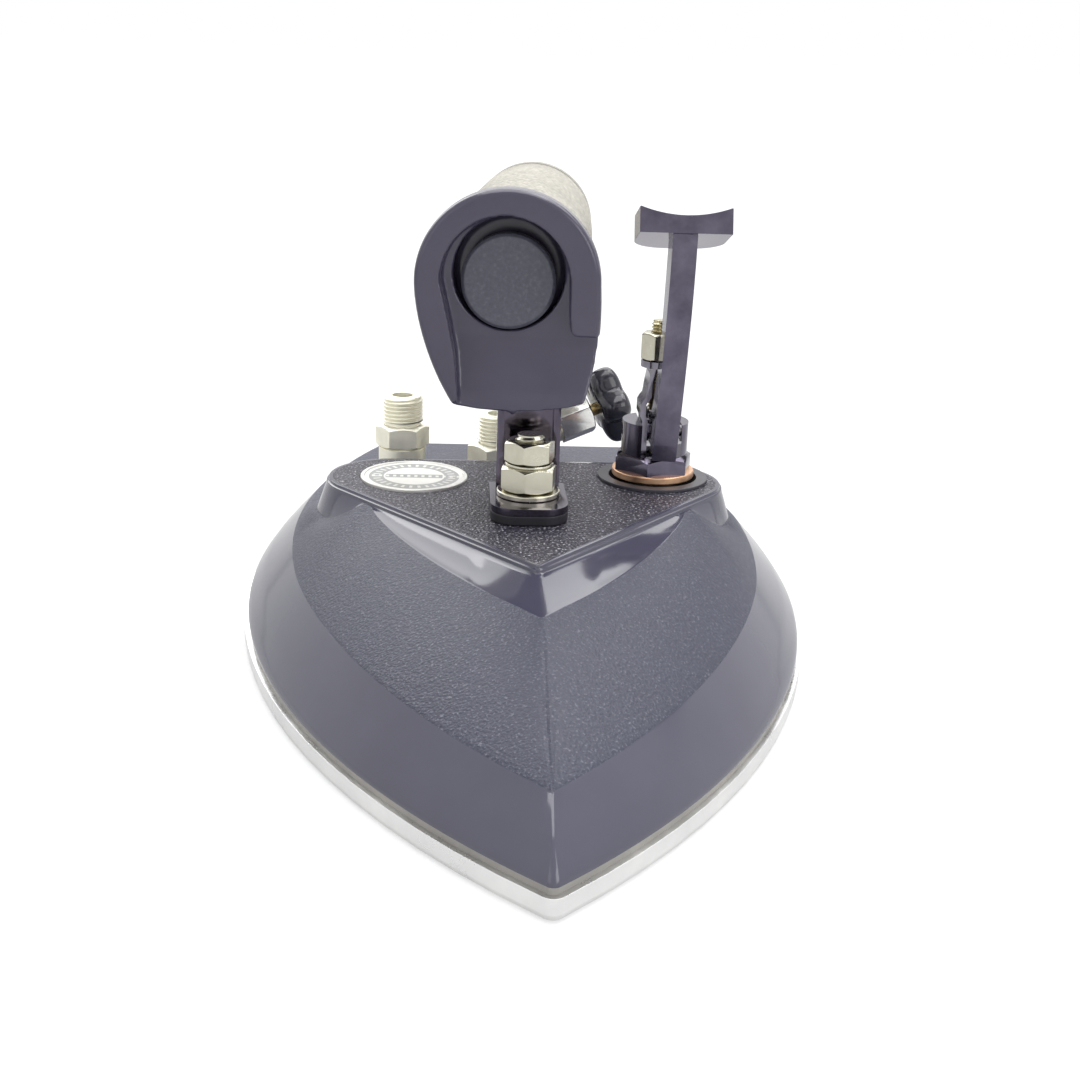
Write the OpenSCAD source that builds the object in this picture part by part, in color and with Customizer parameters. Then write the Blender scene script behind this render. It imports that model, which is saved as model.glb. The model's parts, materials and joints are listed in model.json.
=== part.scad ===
// Industrial all-steam iron, fed from a boiler, with a thumb-lever steam valve.
// Frame: origin at the middle of the sole's face, +Z up, toe toward -Y, +X on the lever side.

/* [Sole] */
// Width of the body at its widest line
body_w = 118; // [110:1:126]
// Distance from the widest line to the toe
toe_len = 130; // [122:1:138]
// Distance from the widest line to the heel
heel_len = 80; // [76:1:86]
// Radius of the toe's tip
toe_r = 1.5; // [1:0.5:4]
// Radius of the heel's corners
heel_r = 16; // [12:1:22]
// Thickness of the sole's edge
sole_t = 4; // [3.5:0.25:6]
// How far the sole stands out past the cover
sole_lip = 0.8; // [0.4:0.2:1.6]
// Rounding along the sole's lower edge
sole_round = 1.2; // [0.6:0.2:1.6]
// Radius of a steam hole
steam_hole_r = 1.3; // [1:0.1:1.8]

/* [Steam chamber] */
// Inset of the chamber's wall from the body's outline
chamber_in = 15; // [14.5:0.5:18]
// Thickness of the chamber's wall
chamber_wall = 5; // [4:0.5:7]
// Height of the chamber's walls above the sole's edge
chamber_h = 6.5; // [6:0.25:7]
// Thickness of the chamber's gasket
gasket_t = 0.5; // [0.4:0.1:0.8]
// Thickness of the chamber's cover plate
lid_t = 3; // [2.5:0.25:3.25]
// Radius of the cover plate's screws
lid_screw_r = 2; // [1.5:0.25:2.5]

/* [Body cover] */
// Thickness of the seal under the cover's rim
seal_t = 1.3; // [1:0.1:1.6]
// Height of the deck above the cover's rim
deck_h = 25.6; // [24:0.2:28]
// Height of the low rear deck above the cover's rim
rear_deck_h = 12.1; // [11.6:0.1:13]
// Wall thickness of the cover
cover_wall = 2.2; // [1.8:0.1:2.6]
// Distance from the widest line forward to the deck's tip
deck_tip = 63.9; // [58:1:68]
// Half distance between the centres of the deck's outer corners
deck_corner_x = 28; // [25:1:31]
// Radius of the deck's outer corners
deck_corner_r = 14; // [11:1:16]
// Distance from the widest line forward to the corners' centres
deck_corner_y = 8.5; // [6:0.5:11]
// Height of the crease above the rim
crease_h = 5; // [4:0.5:6]
// Inset of the crease
crease_in = 3; // [2:0.5:4]

/* [Handle] */
// Height of the handle's axis above the sole's face
handle_z = 78; // [74:1:84]
// Sideways place of the handle's axis above the front bracket
handle_x = -4.2; // [-6:0.2:0]
// Angle that the handle is turned toward the lever side
handle_skew = 5.1; // [0:0.1:7]
// Radius of the cork grip
cork_r = 14.2; // [13:0.2:15]
// Length of the cork grip
cork_len = 76.6; // [70:1:78]
// Thickness of the ferrule behind the grip
ferrule_t = 2; // [1.5:0.5:3]
// Radius of the bolt through the handle
handle_bolt_r = 4; // [3:0.5:4]
// Depth of the hand guard in front of the bracket
guard_depth = 24.5; // [22:0.5:27]
// Radius of the hand guard's arch
guard_r = 16.8; // [16:0.2:18]
// Radius of the guard's cap
cap_r = 8.65; // [8:0.05:9]

/* [Brackets] */
// Sideways place of the front bracket
front_x = -0.5; // [-2:0.5:2]
// Width of the bracket's channel
strap_w = 12.6; // [12:0.2:14]
// Thickness of the bracket's sheet
strap_t = 1.4; // [1.2:0.1:2]
// Width of the foot
foot_w = 15.2; // [14:0.2:17]
// Height of the insulating foot block
foot_h = 2; // [1.5:0.25:3]
// Length of the front foot
front_foot_len = 18.8; // [17:0.2:20]
// Length of the rear foot
rear_foot_len = 15; // [14.6:0.2:16]
// Distance from the bracket's web to its stud
stud_off = 8.2; // [7.8:0.2:9]
// Distance from the heel's edge to the rear stud
rear_stud_in = 17.12; // [16:0.04:19]
// Radius of the studs
stud_r = 3; // [2.5:0.25:3.25]
// Width across flats of the studs' nuts
nut_af = 10.2; // [9.6:0.2:11]
// Height of the studs' nuts
nut_h = 5; // [4:0.25:6]
// Height of the lock nuts
lock_nut_h = 4.4; // [3:0.2:5]

/* [Steam valve] */
// Sideways place of the valve's axis
valve_x = 27.5; // [26:0.5:29]
// Place of the valve's axis along the iron
valve_y = 18.5; // [16:0.5:20]
// Radius of the valve body
valve_r = 7.65; // [7.3:0.05:8]
// Width across flats of the bonnet's hexagon
bonnet_af = 15; // [14.4:0.2:16]
// Height of the bonnet's hexagon
bonnet_h = 3.7; // [3:0.1:5]
// Radius of the bonnet's ears
ear_r = 7.05; // [6.9:0.05:7.4]
// Height of the bonnet's ears
ear_h = 6.8; // [6.4:0.2:8]
// Radius of the valve stem
stem_r = 1.6; // [1.4:0.1:1.8]
// Radius of the lever's pin
pin_r = 1.25; // [1.1:0.05:1.4]
// Thickness of the lever
lever_t = 5; // [4.4:0.2:5]
// Height of the lever from its pin to the thumb pad
lever_h = 43.2; // [38:0.2:46]
// Turn of the lever from closed to open
lever_turn = 14; // [8:1:14]
// Width of the thumb pad
pad_w = 18.6; // [16:0.2:21]
// Length of the thumb pad
pad_len = 16; // [13:0.5:18]
// Tilt of the thumb pad
pad_tilt = 18; // [12:1:30]
// Thickness of the thumb pad at its ends
pad_t = 5.2; // [4.4:0.2:6]
// Hollow of the thumb pad
pad_hollow = 1.6; // [1:0.1:2]
// Lean of the lever toward its own side
lever_lean = 2.1; // [0:0.1:3]
// Radius of the stroke screw
screw_r = 2; // [1.6:0.1:2]

/* [Steam fittings] */
// Major radius of the hose threads
thread_r = 4.864; // [4.8:0.004:5]
// Length of the hose threads
thread_len = 6; // [5:0.5:8]
// Radius of the bores in the fittings
port_r = 2.5; // [2:0.1:3]
// Width across flats of the inlet's hexagon
inlet_af = 11; // [10:0.2:13]
// Sideways place of the steam inlet
inlet_x = -27.7; // [-30:0.1:-25]
// Place of the steam inlet along the iron
inlet_y = 55; // [50:1:60]
// Sideways place of the drain valve
drain_x = -5.1; // [-7:0.1:-3]
// Place of the drain valve along the iron
drain_y = 53; // [50:1:58]
// Rise of the drain valve's arm
arm_rise = 20; // [15:1:25]
// Turn of the drain valve's arm toward the heel
arm_turn = 12; // [6:1:18]
// Radius of the drain knob
knob_r = 9.4; // [8:0.2:10]
// Length of the drain knob
knob_len = 7; // [6.4:0.2:9]
// Number of lobes on the drain knob
knob_lobes = 5; // [4:1:6]

/* [Hidden] */
$fn = 48;

// Clearances
fit_gap = 0.05;       // between parts screwed or pressed together
run_gap = 0.05;       // radial, on the pin and in the guides
seat_gap = 0.3;       // between curved faces that lie side by side
cut_len = 80;         // of a bore that runs out of the part

// Colours
col_cover = [0.22, 0.22, 0.28];
col_black = [0.06, 0.06, 0.08];
col_steel = [0.78, 0.78, 0.76];
col_dark_plate = [0.16, 0.15, 0.2];
col_brass = [0.72, 0.6, 0.32];
col_nickel = [0.7, 0.67, 0.56];
col_copper = [0.72, 0.42, 0.25];
col_sole = [0.82, 0.83, 0.84];

// Derived heights
wide_y = (toe_len - heel_len)/2;       // the widest line, from the middle of the sole
chamber_top = sole_t + chamber_h;
lid_z = chamber_top + gasket_t;
lid_top = lid_z + lid_t;
rim_z = sole_t + seal_t;
deck_z = rim_z + deck_h;
rear_deck_z = rim_z + rear_deck_h;

// Plan outline of the body: two side arcs that meet at the toe, a straight heel, rounded corners.
side_r = (body_w*body_w/4 + toe_len*toe_len)/body_w;
side_cx = side_r - body_w/2;
function toe_ang(d) = let(r = max(toe_r - d, 0.3))
  atan2(-sqrt(pow(side_r - d - r, 2) - side_cx*side_cx), side_cx);
function heel_ang(d) = let(r = max(heel_r - d, 1)) asin((heel_len - d - r)/(side_r - d - r));
arc_pt = function (cx, cy, r, a) [cx + r*cos(a), cy + r*sin(a)];

// Stations along one half of the outline, counted from the toe to the middle of the heel
n_tip = 3;            // round the toe's tip
n_vee = 15;           // along the deck's front edge
n_bend = 9;           // round the deck's outer corner
n_rear = 6;           // on to the heel's corner
n_heel = 5;           // round the heel's corner
bend_a = -4;          // side angle where the deck's outer corner starts
bend_b = 6;           // side angle where it ends
i_vee = n_tip + n_vee;
i_bend = i_vee + n_bend;
i_rear = i_bend + n_rear;
i_heel = i_rear + n_heel;
i_mid = i_heel + 1;
function ramp(i, i0, i1) = min(max((i - i0)/(i1 - i0), 0), 1);
function smooth(t) = t*t*(3 - 2*t);
function half_pt(i, d) =
  let(tr = max(toe_r - d, 0.3), hr = max(heel_r - d, 1), ta = toe_ang(d), ha = heel_ang(d),
      toe_y = wide_y - sqrt(pow(side_r - d - tr, 2) - side_cx*side_cx),
      hx = -side_cx + (side_r - d - hr)*cos(ha), hy = wide_y + heel_len - d - hr)
  i <= n_tip ? arc_pt(0, toe_y, tr, -90 + (ta + 90)*i/n_tip) :
  i <= i_vee ? arc_pt(-side_cx, wide_y, side_r - d, ta + (bend_a - ta)*(i - n_tip)/n_vee) :
  i <= i_bend ? arc_pt(-side_cx, wide_y, side_r - d, bend_a + (bend_b - bend_a)*(i - i_vee)/n_bend) :
  i <= i_rear ? arc_pt(-side_cx, wide_y, side_r - d, bend_b + (ha - bend_b)*(i - i_bend)/n_rear) :
  i <= i_heel ? arc_pt(hx, hy, hr, ha + (90 - ha)*(i - i_rear)/n_heel) :
  [0, wide_y + heel_len - d];
function mirror_ring(half) = concat(half,
  [for (i = [len(half) - 2:-1:1]) [-half[i][0], half[i][1], half[i][2]]]);
function flat(ring) = [for (p = ring) [p[0], p[1]]];
function outline(d) = flat(mirror_ring([for (i = [0:i_mid]) concat(half_pt(i, d), [0])]));

// A closed skin over rings of equal length, capped at both ends
module loft(rings) {
  n = len(rings[0]);
  m = len(rings);
  sides = [for (k = [0:m - 2], i = [0:n - 1]) let(j = (i + 1) % n)
    [k*n + i, (k + 1)*n + i, (k + 1)*n + j, k*n + j]];
  tris = [for (f = sides) each [[f[0], f[1], f[2]], [f[0], f[2], f[3]]]];
  bottom = [for (i = [0:n - 1]) i];
  top = [for (i = [n - 1:-1:0]) (m - 1)*n + i];
  polyhedron(points = [for (r = rings) each r], faces = concat([bottom], tris, [top]), convexity = 8);
}
function at_z(pts, z) = [for (p = pts) [p[0], p[1], z]];

module hex(af, h) {
  cylinder(d = af/cos(30), h = h, $fn = 6);
}
// A hexagon nut or head with its corners taken off by a cone at the top
module chamfered_hex(af, h, both = false) {
  r_full = af/cos(30)/2 + 0.05;
  r_end = af*0.465;
  rise = (r_full - r_end)*tan(30);
  intersection() {
    hex(af, h);
    rotate_extrude() polygon(concat(both ? [[0, 0], [r_end, 0], [r_full, rise]] : [[0, 0], [r_full, 0]],
      [[r_full, h - rise], [r_end, h], [0, h]]));
  }
}
module along_y(y0 = 0) {
  translate([0, y0, 0]) rotate([-90, 0, 0]) children();
}
module tube(r_out, r_in, h) {
  difference() {
    cylinder(r = r_out, h = h);
    translate([0, 0, -1]) cylinder(r = r_in, h = h + 2);
  }
}

// Places that several pieces share
rear_stud_y = wide_y + heel_len - rear_stud_in;
rear_web_y = rear_stud_y - stud_off;
grip_run = strap_t + cork_len + ferrule_t;         // from one bracket's front face to the other's
web_y = rear_web_y - grip_run*cos(handle_skew);    // front face of the front bracket's web
rear_x = handle_x + grip_run*sin(handle_skew);
front_stud_y = web_y + strap_t - stud_off;
plate_z = foot_h + strap_t;                        // top of a bracket's foot above its deck
stud_places = [[front_x, front_stud_y, deck_z], [rear_x, rear_stud_y, rear_deck_z]];
fitting_places = [[inlet_x, inlet_y], [drain_x, drain_y]];

// Sole

vent_rows = [for (i = [0:6]) let(t = i/6) [10 + 22*t, -76 + 78*t]];
vent_mid = [for (i = [0:4]) [0, -84 + 14*i]];
vents = concat(vent_rows, [for (p = vent_rows) [-p[0], p[1]]], vent_mid);
boss_r = 6.5;
lid_screw_steps = [2, 7, 12, 17, 22, 27, 31];
lid_screw_places = [for (i = lid_screw_steps) each
  let(p = half_pt(i + 2, chamber_in + chamber_wall/2)) [p, [-p[0], p[1]]]];
rib_t = 3;

module sole_plate() {
  color(col_sole) difference() {
    union() {
      loft([at_z(outline(sole_round*0.75 - sole_lip), 0),
        at_z(outline(sole_round*0.2 - sole_lip), sole_round*0.35),
        at_z(outline(-sole_lip), sole_round), at_z(outline(-sole_lip), sole_t)]);
      translate([0, 0, sole_t - 0.5]) linear_extrude(chamber_h + 0.5) difference() {
        polygon(outline(chamber_in));
        polygon(outline(chamber_in + chamber_wall));
      }
      for (p = stud_places) translate([p[0], p[1], sole_t - 0.5]) cylinder(r = boss_r, h = chamber_h + 0.5);
      for (p = fitting_places) translate([p[0], p[1], sole_t - 0.5]) cylinder(r = boss_r, h = 2.5);
      translate([valve_x, valve_y, sole_t - 0.5]) cylinder(r = valve_r + 2.5, h = 2.5);
      labyrinth();
    }
    for (p = vents) translate([p[0], p[1], -1]) cylinder(r = steam_hole_r, h = sole_t + 2, $fn = 20);
    for (p = vents) translate([p[0], p[1], -0.01])
      cylinder(r1 = steam_hole_r + 1, r2 = steam_hole_r, h = 1, $fn = 20);
    for (p = stud_places) translate([p[0], p[1], sole_t]) cylinder(r = stud_r + fit_gap, h = chamber_h + 1);
    for (p = fitting_places) translate([p[0], p[1], sole_t]) cylinder(r = port_r, h = 3);
    translate([valve_x, valve_y, -1]) cylinder(r = steam_hole_r, h = 12, $fn = 20);
    translate([valve_x, valve_y, valve_foot_z]) cylinder(r = valve_r + fit_gap, h = 10);
    for (p = lid_screw_places) translate([p[0], p[1], chamber_top - lid_screw_len])
      cylinder(r = lid_screw_r + fit_gap, h = lid_screw_len + 1, $fn = 24);
  }
}
// Cast ribs that lead the steam round the chamber
module labyrinth() {
  translate([0, 0, sole_t - 0.5]) linear_extrude(chamber_h + 0.5) {
    for (s = [-1, 1]) translate([s*13 - rib_t/2, -44]) square([rib_t, 34]);
    translate([-13, 8]) square([26, rib_t]);
    translate([12, 44]) square([rib_t, 30]);
  }
}
lid_screw_len = 5;

module lid_outline() {
  polygon(outline(chamber_in));
}
module lid_holes(extra = 0) {
  for (p = stud_places) translate([p[0], p[1]]) circle(r = stud_r + fit_gap + extra);
  for (p = lid_screw_places) translate([p[0], p[1]]) circle(r = lid_screw_r + fit_gap, $fn = 24);
}
module chamber_gasket() {
  color([0.5, 0.5, 0.48]) translate([0, 0, chamber_top]) linear_extrude(gasket_t) difference() {
    lid_outline();
    polygon(outline(chamber_in + chamber_wall));
    lid_holes();
  }
}
module chamber_cover() {
  color(col_sole*0.9) translate([0, 0, lid_z]) difference() {
    linear_extrude(lid_t) difference() {
      lid_outline();
      lid_holes();
    }
    for (p = fitting_places)
      translate([p[0], p[1], -1]) cylinder(r = fitting_root_r + fit_gap, h = lid_t + 2);
    translate([valve_x, valve_y, -1]) cylinder(r = valve_r + fit_gap, h = lid_t + 2);
  }
}
lid_head_h = 1;
module chamber_screws() {
  color(col_steel) for (p = lid_screw_places) translate([p[0], p[1], chamber_top - lid_screw_len]) {
    cylinder(r = lid_screw_r, h = lid_screw_len + gasket_t + lid_t, $fn = 24);
    translate([0, 0, lid_screw_len + gasket_t + lid_t]) cylinder(r1 = lid_screw_r*1.8, r2 = lid_screw_r*1.5,
      h = lid_head_h, $fn = 24);
  }
}
seal_w = 7;
module rim_seal() {
  color(col_black) translate([0, 0, sole_t]) linear_extrude(seal_t) difference() {
    polygon(outline(0.2));
    polygon(outline(seal_w));
  }
}

// Body cover

band_in = 7.9;            // inset of the smooth band's upper edge at the toe
band_h = 9.9;             // its height above the rim at the toe
band_in_side = 1.6;       // how much further in it runs at the sides
lip_h = 0.9;              // the thin lip along the rim
lip_in = 0.6;
scoop_end = 0.8;          // where the scoop ends, as a share of the deck's front edge
scoop_share = 0.3;        // width of the scoop, as a share of the face at the toe
scoop_drop = 0.55;        // how much flatter than the face the scoop's rim lies
scoop_dip = 1.3;          // hollow of the scoop
facet_share = 0.32;       // width of the steep side facet
facet_drop = 0.5;
deck_lip = 0.7;           // step round the deck's edge
deck_tip_r = 1.2;
deck_tip_y = wide_y - deck_tip;
corner_y = wide_y - deck_corner_y;
deck_rear_y = corner_y + deck_corner_r;
rear_wall_run = 3.4;      // how far the wall behind the deck leans out

vee_len = norm([deck_corner_x, corner_y - deck_tip_y]);
vee_ang = atan2(corner_y - deck_tip_y, deck_corner_x);
function vee_normal() = vee_ang - acos((deck_tip_r - deck_corner_r)/vee_len);
// Point i of the deck's edge, moved in by d
function deck_pt(i, d) =
  let(na = vee_normal(), tr = max(deck_tip_r - d, 0.2), cr = deck_corner_r - d,
      back = max(d - deck_tip_r + 0.2, 0)/cos(90 + na),
      a = arc_pt(0, deck_tip_y + back, tr, na),
      b = arc_pt(deck_corner_x, corner_y, cr, na))
  i == 0 ? [0, a[1] - tr*(1 + sin(na))] :
  i <= i_vee ? let(t = (i - 1)/(i_vee - 1)) a + (b - a)*t :
  i <= i_bend ? arc_pt(deck_corner_x, corner_y, cr, na + (90 - na)*(i - i_vee)/n_bend) :
  [deck_corner_x*(i_mid - i)/(i_mid - i_bend), deck_rear_y - d];

function side_share(i) = smooth(ramp(i, 0, i_vee*0.75));
function band_pt(i, d) = half_pt(i, band_in + band_in_side*side_share(i) + d);
function band_z(i) = rim_z + band_h + (rear_deck_h - band_h)*side_share(i);
function vee_share(i) = ramp(i, 1, i_vee);
function is_rear(i) = smooth(ramp(i, i_vee + n_bend*0.45, i_bend));
// The scoop's lower rim in front, the steep facet at the side, the foot of the wall behind
function brow_share(i) = let(v = vee_share(i)) v < scoop_end
  ? scoop_share*sqrt(1 - pow(v/scoop_end, 2))
  : facet_share*smooth(ramp(v, scoop_end, 1.0));
function brow_drop(i) = let(v = vee_share(i)) v < scoop_end
  ? brow_share(i)*scoop_drop
  : facet_drop*smooth(ramp(v, scoop_end, 1.0));
function brow_xy(i) = let(g = deck_pt(i, 0), e = band_pt(i, 0), s = max(brow_share(i), 0.05))
  (g + (e - g)*s)*(1 - is_rear(i)) + [g[0]*1.04, deck_rear_y + rear_wall_run]*is_rear(i);
function brow_z(i) = (deck_z - deck_lip - (deck_z - band_z(i))*max(brow_drop(i), 0.03))*(1 - is_rear(i))
  + rear_deck_z*is_rear(i);
function dip(i) = let(v = vee_share(i)) v < scoop_end ? scoop_dip*(1 - pow(v/scoop_end, 2)) : 0;
deck_mid = [0, 8];
function draw_in(p, d) = let(q = p - deck_mid) deck_mid + q*(1 - d/norm(q));
function up(p, z) = [p[0], p[1], z];
function step_pt(i) = let(g = deck_pt(i, -0.25)) up(g, deck_z - deck_lip);
function hollow_pt(i) = let(a = step_pt(i), b = up(brow_xy(i), brow_z(i))) (a + b)/2 - [0, 0, dip(i)];
function face_pt(i) = let(a = up(brow_xy(i), brow_z(i)), b = up(band_pt(i, 0), band_z(i))) (a + b)/2
  + [0, 0, 0.8*(1 - is_rear(i))*ramp(i, 0, 4)];
function ring(f) = mirror_ring([for (i = [0:i_mid]) f(i)]);
outer_rings = [
  ring(function (i) up(half_pt(i, 0), rim_z)),
  ring(function (i) up(half_pt(i, 0), rim_z + lip_h)),
  ring(function (i) up(half_pt(i, lip_in), rim_z + lip_h*1.3)),
  ring(function (i) up(half_pt(i, crease_in), rim_z + crease_h)),
  ring(function (i) up(band_pt(i, 0), band_z(i))),
  ring(function (i) face_pt(i)),
  ring(function (i) up(brow_xy(i), brow_z(i))),
  ring(function (i) hollow_pt(i)),
  ring(function (i) step_pt(i)),
  ring(function (i) up(deck_pt(i, 0.1), deck_z))];
inner_rings = [
  ring(function (i) up(half_pt(i, cover_wall), rim_z - 1)),
  ring(function (i) up(half_pt(i, crease_in + cover_wall), rim_z + crease_h - cover_wall*0.4)),
  ring(function (i) up(band_pt(i, cover_wall), band_z(i) - cover_wall)),
  ring(function (i) let(p = face_pt(i)) up(draw_in(p2(p), cover_wall), p[2] - cover_wall)),
  ring(function (i) up(draw_in(brow_xy(i), cover_wall), brow_z(i) - cover_wall)),
  ring(function (i) let(p = hollow_pt(i)) up(draw_in(p2(p), cover_wall), p[2] - cover_wall)),
  ring(function (i) up(draw_in(deck_pt(i, 0), cover_wall*1.4), deck_z - deck_lip - cover_wall))];
function p2(p) = [p[0], p[1]];

collar_r = 11.8;
collar_in = 9.4;
collar_h = 0.7;
collar_spigot = 10.9;
badge_x = -23.7;
badge_y = 15.4;
badge_r = 11.3;
badge_t = 0.5;
badge_seat = 0.4;         // depth of the badge's recess
fitting_hole_r = 7.4;
module body_cover() {
  color(col_cover) difference() {
    loft(outer_rings);
    loft(inner_rings);
    translate([valve_x, valve_y, deck_z - 12]) cylinder(r = collar_spigot + fit_gap, h = 14);
    translate([badge_x, badge_y, deck_z - badge_seat]) cylinder(r = badge_r + fit_gap, h = 2);
    for (p = stud_places) translate([p[0], p[1], p[2] - 8]) cylinder(r = stud_r + seat_gap, h = 10);
    for (p = fitting_places) translate([p[0], p[1], rear_deck_z - 8]) cylinder(r = fitting_hole_r, h = 10);
  }
}
module badge_plate() {
  color(col_steel) translate([badge_x, badge_y, deck_z - badge_seat]) difference() {
    cylinder(r = badge_r, h = badge_seat + badge_t, $fn = 64);
    translate([0, 0, badge_seat + badge_t*0.6]) tube(badge_r*0.86, badge_r*0.62, 1);
  }
}
module valve_collar() {
  color(col_black) translate([valve_x, valve_y, 0]) difference() {
    union() {
      translate([0, 0, deck_z]) cylinder(r = collar_r, h = collar_h, $fn = 64);
      translate([0, 0, deck_z - 3]) cylinder(r = collar_spigot, h = 3.5, $fn = 64);
    }
    translate([0, 0, deck_z - 5]) cylinder(r = collar_in, h = 8, $fn = 64);
  }
}

// Steam valve

valve_foot_z = sole_t + 0.5;
valve_top = deck_z + 0.8;
seat_z = 8;
cavity_r = 5.8;
seat_hole_r = 2.8;
spigot_z = 26;
gasket_h = 1.6;
gasket_r = 8.8;
hex_z = valve_top + gasket_h;
hex_top = hex_z + bonnet_h;
ear_top = hex_top + ear_h;
slot_left = -3.5;         // side faces of the slot between the ears, from the valve's axis
slot_right = 5.1;
pin_z = hex_top + 4.6;
disc_r = 4.4;
disc_h = 2.4;
module at_valve(z = 0) {
  translate([valve_x, valve_y, z]) children();
}
module valve_body() {
  color(col_nickel) at_valve() difference() {
    translate([0, 0, valve_foot_z]) cylinder(r = valve_r, h = valve_top - valve_foot_z);
    translate([0, 0, seat_z]) cylinder(r = cavity_r, h = valve_top);
    cylinder(r = seat_hole_r, h = valve_top);
    for (a = [0, 90]) translate([0, 0, seat_z + 1.4]) rotate([90, 0, a + 45])
      cylinder(r = 1.2, h = 3*valve_r, center = true, $fn = 20);
  }
}
module copper_gasket() {
  color(col_copper) at_valve(valve_top) tube(gasket_r, cavity_r + 0.6, gasket_h);
}
packing_h = 3.6;
packing_r = 3.6;
spigot_r = cavity_r - fit_gap;
module valve_bonnet() {
  color(col_dark_plate) at_valve() difference() {
    union() {
      translate([0, 0, spigot_z]) cylinder(r = spigot_r, h = hex_z - spigot_z + 0.5);
      translate([0, 0, hex_z]) rotate([0, 0, 15]) chamfered_hex(bonnet_af, bonnet_h);
      translate([0, 0, hex_top - 0.01]) cylinder(r = ear_r, h = ear_h + 0.01);
    }
    translate([slot_left, -20, hex_top]) cube([slot_right - slot_left, 40, ear_h + 1]);
    translate([0, 0, spigot_z - 1]) cylinder(r = packing_r + fit_gap, h = packing_h + 1);
    cylinder(r = stem_r + run_gap, h = cut_len, $fn = 32);
    translate([0, 0, pin_z]) rotate([0, 90, 0])
      cylinder(r = pin_r, h = 4*ear_r, center = true, $fn = 32);
  }
}
module stem_packing() {
  color([0.85, 0.85, 0.8]) at_valve(spigot_z) tube(packing_r, stem_r + run_gap, packing_h);
}
// Wire coiled round the stem, from the disc to the bonnet
spring_turns = 6;
spring_wire = 0.45;
spring_mean = 3.2;
spring_z0 = seat_z + run_gap + disc_h + spring_wire + 0.02;
spring_z1 = spigot_z - spring_wire - 0.02;
module valve_spring() {
  steps = spring_turns*12;
  sides = 6;
  rings = [for (s = [0:steps]) let(a = 360*s/12, z = spring_z0 + (spring_z1 - spring_z0)*s/steps)
    [for (k = [0:sides - 1]) let(b = 360*k/sides, r = spring_mean + spring_wire*cos(b))
      [r*cos(a), r*sin(a), z + spring_wire*sin(b)]]];
  color(col_steel) at_valve() loft(rings);
}
// The yoke hangs on the lever's cam by its screw and lifts the stem
yoke_t = 1.2;
yoke_x = slot_left + 0.2;
yoke_w = 7;
yoke_foot_z = hex_top + 0.2;
yoke_foot_t = 1.1;
tab_z = hex_top + 18.4;
tab_t = 1.4;
tab_r = 3.8;
// Left face of the leg from its foot to its tab: a jog over the ear, then a bend in under the tab
yoke_bends = [[0, yoke_foot_z - hex_top], [0, ear_h + 0.4], [-0.5, ear_h + 1.6], [-0.5, ear_h + 3.9],
  [-0.1, ear_h + 4.7], [0.5, ear_h + 5.5], [0.8, ear_h + 8], [1.2, ear_h + 10.4],
  [1.9, tab_z - hex_top + 0.5]];
cam_y = 2.4;
cam_z = 1.4;
cam_r = 3.1;
cam_top = pin_z + cam_z + cam_r;
screw_tip_z = cam_top + fit_gap;
screw_top_z = hex_top + 28.2;
function cam_lift(a) = cam_y*sin(a) - cam_z*(1 - cos(a));
stem_lift = cam_lift(lever_turn);
module valve_stem() {
  color(col_brass) at_valve() {
    translate([0, 0, seat_z + run_gap]) cylinder(r = disc_r, h = disc_h);
    translate([0, 0, seat_z + run_gap]) cylinder(r = stem_r, h = yoke_foot_z - seat_z - run_gap, $fn = 32);
  }
}
module stem_yoke() {
  slot = pin_r + 0.15;
  color(col_steel) at_valve() difference() {
    union() {
      translate([yoke_x, yoke_w/2, hex_top]) rotate([90, 0, 0]) linear_extrude(yoke_w)
        polygon(concat(yoke_bends, [for (i = [len(yoke_bends) - 1:-1:0]) yoke_bends[i] + [yoke_t, 0]]));
      translate([yoke_x, -1.3, yoke_foot_z]) cube([stem_r + 1 - yoke_x, yoke_w/2 + 1.3, yoke_foot_t]);
      translate([0, 0, tab_z]) cylinder(r = tab_r, h = tab_t);
    }
    translate([0, 0, tab_z - 10]) cylinder(r = screw_r + fit_gap, h = 20);
    for (z = [pin_z, pin_z - stem_lift]) translate([yoke_x - 1, 0, z]) rotate([0, 90, 0])
      cylinder(r = slot, h = yoke_t + 1.5, $fn = 32);
    translate([yoke_x - 1, -slot, pin_z - stem_lift]) cube([yoke_t + 1.5, 2*slot, stem_lift]);
  }
}
stroke_nut_h = 5.8;
stroke_nut_af = 7;
module stroke_screw() {
  color(col_brass) at_valve() {
    translate([0, 0, screw_tip_z]) cylinder(r = screw_r, h = screw_top_z - screw_tip_z - 0.6);
    translate([0, 0, screw_top_z - 0.6]) cylinder(r1 = screw_r, r2 = screw_r - 0.5, h = 0.6);
  }
}
module stroke_nut() {
  color(col_nickel) at_valve(tab_z + tab_t) difference() {
    rotate([0, 0, 6]) chamfered_hex(stroke_nut_af, stroke_nut_h, true);
    translate([0, 0, -1]) cylinder(r = screw_r + fit_gap, h = stroke_nut_h + 2);
  }
}
module lever_pin() {
  reach = sqrt(ear_r*ear_r - pin_r*pin_r) - 0.2;
  color(col_steel) at_valve(pin_z) translate([-reach, 0, 0]) rotate([0, 90, 0])
    cylinder(r = pin_r, h = 2*reach, $fn = 32);
}

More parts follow.
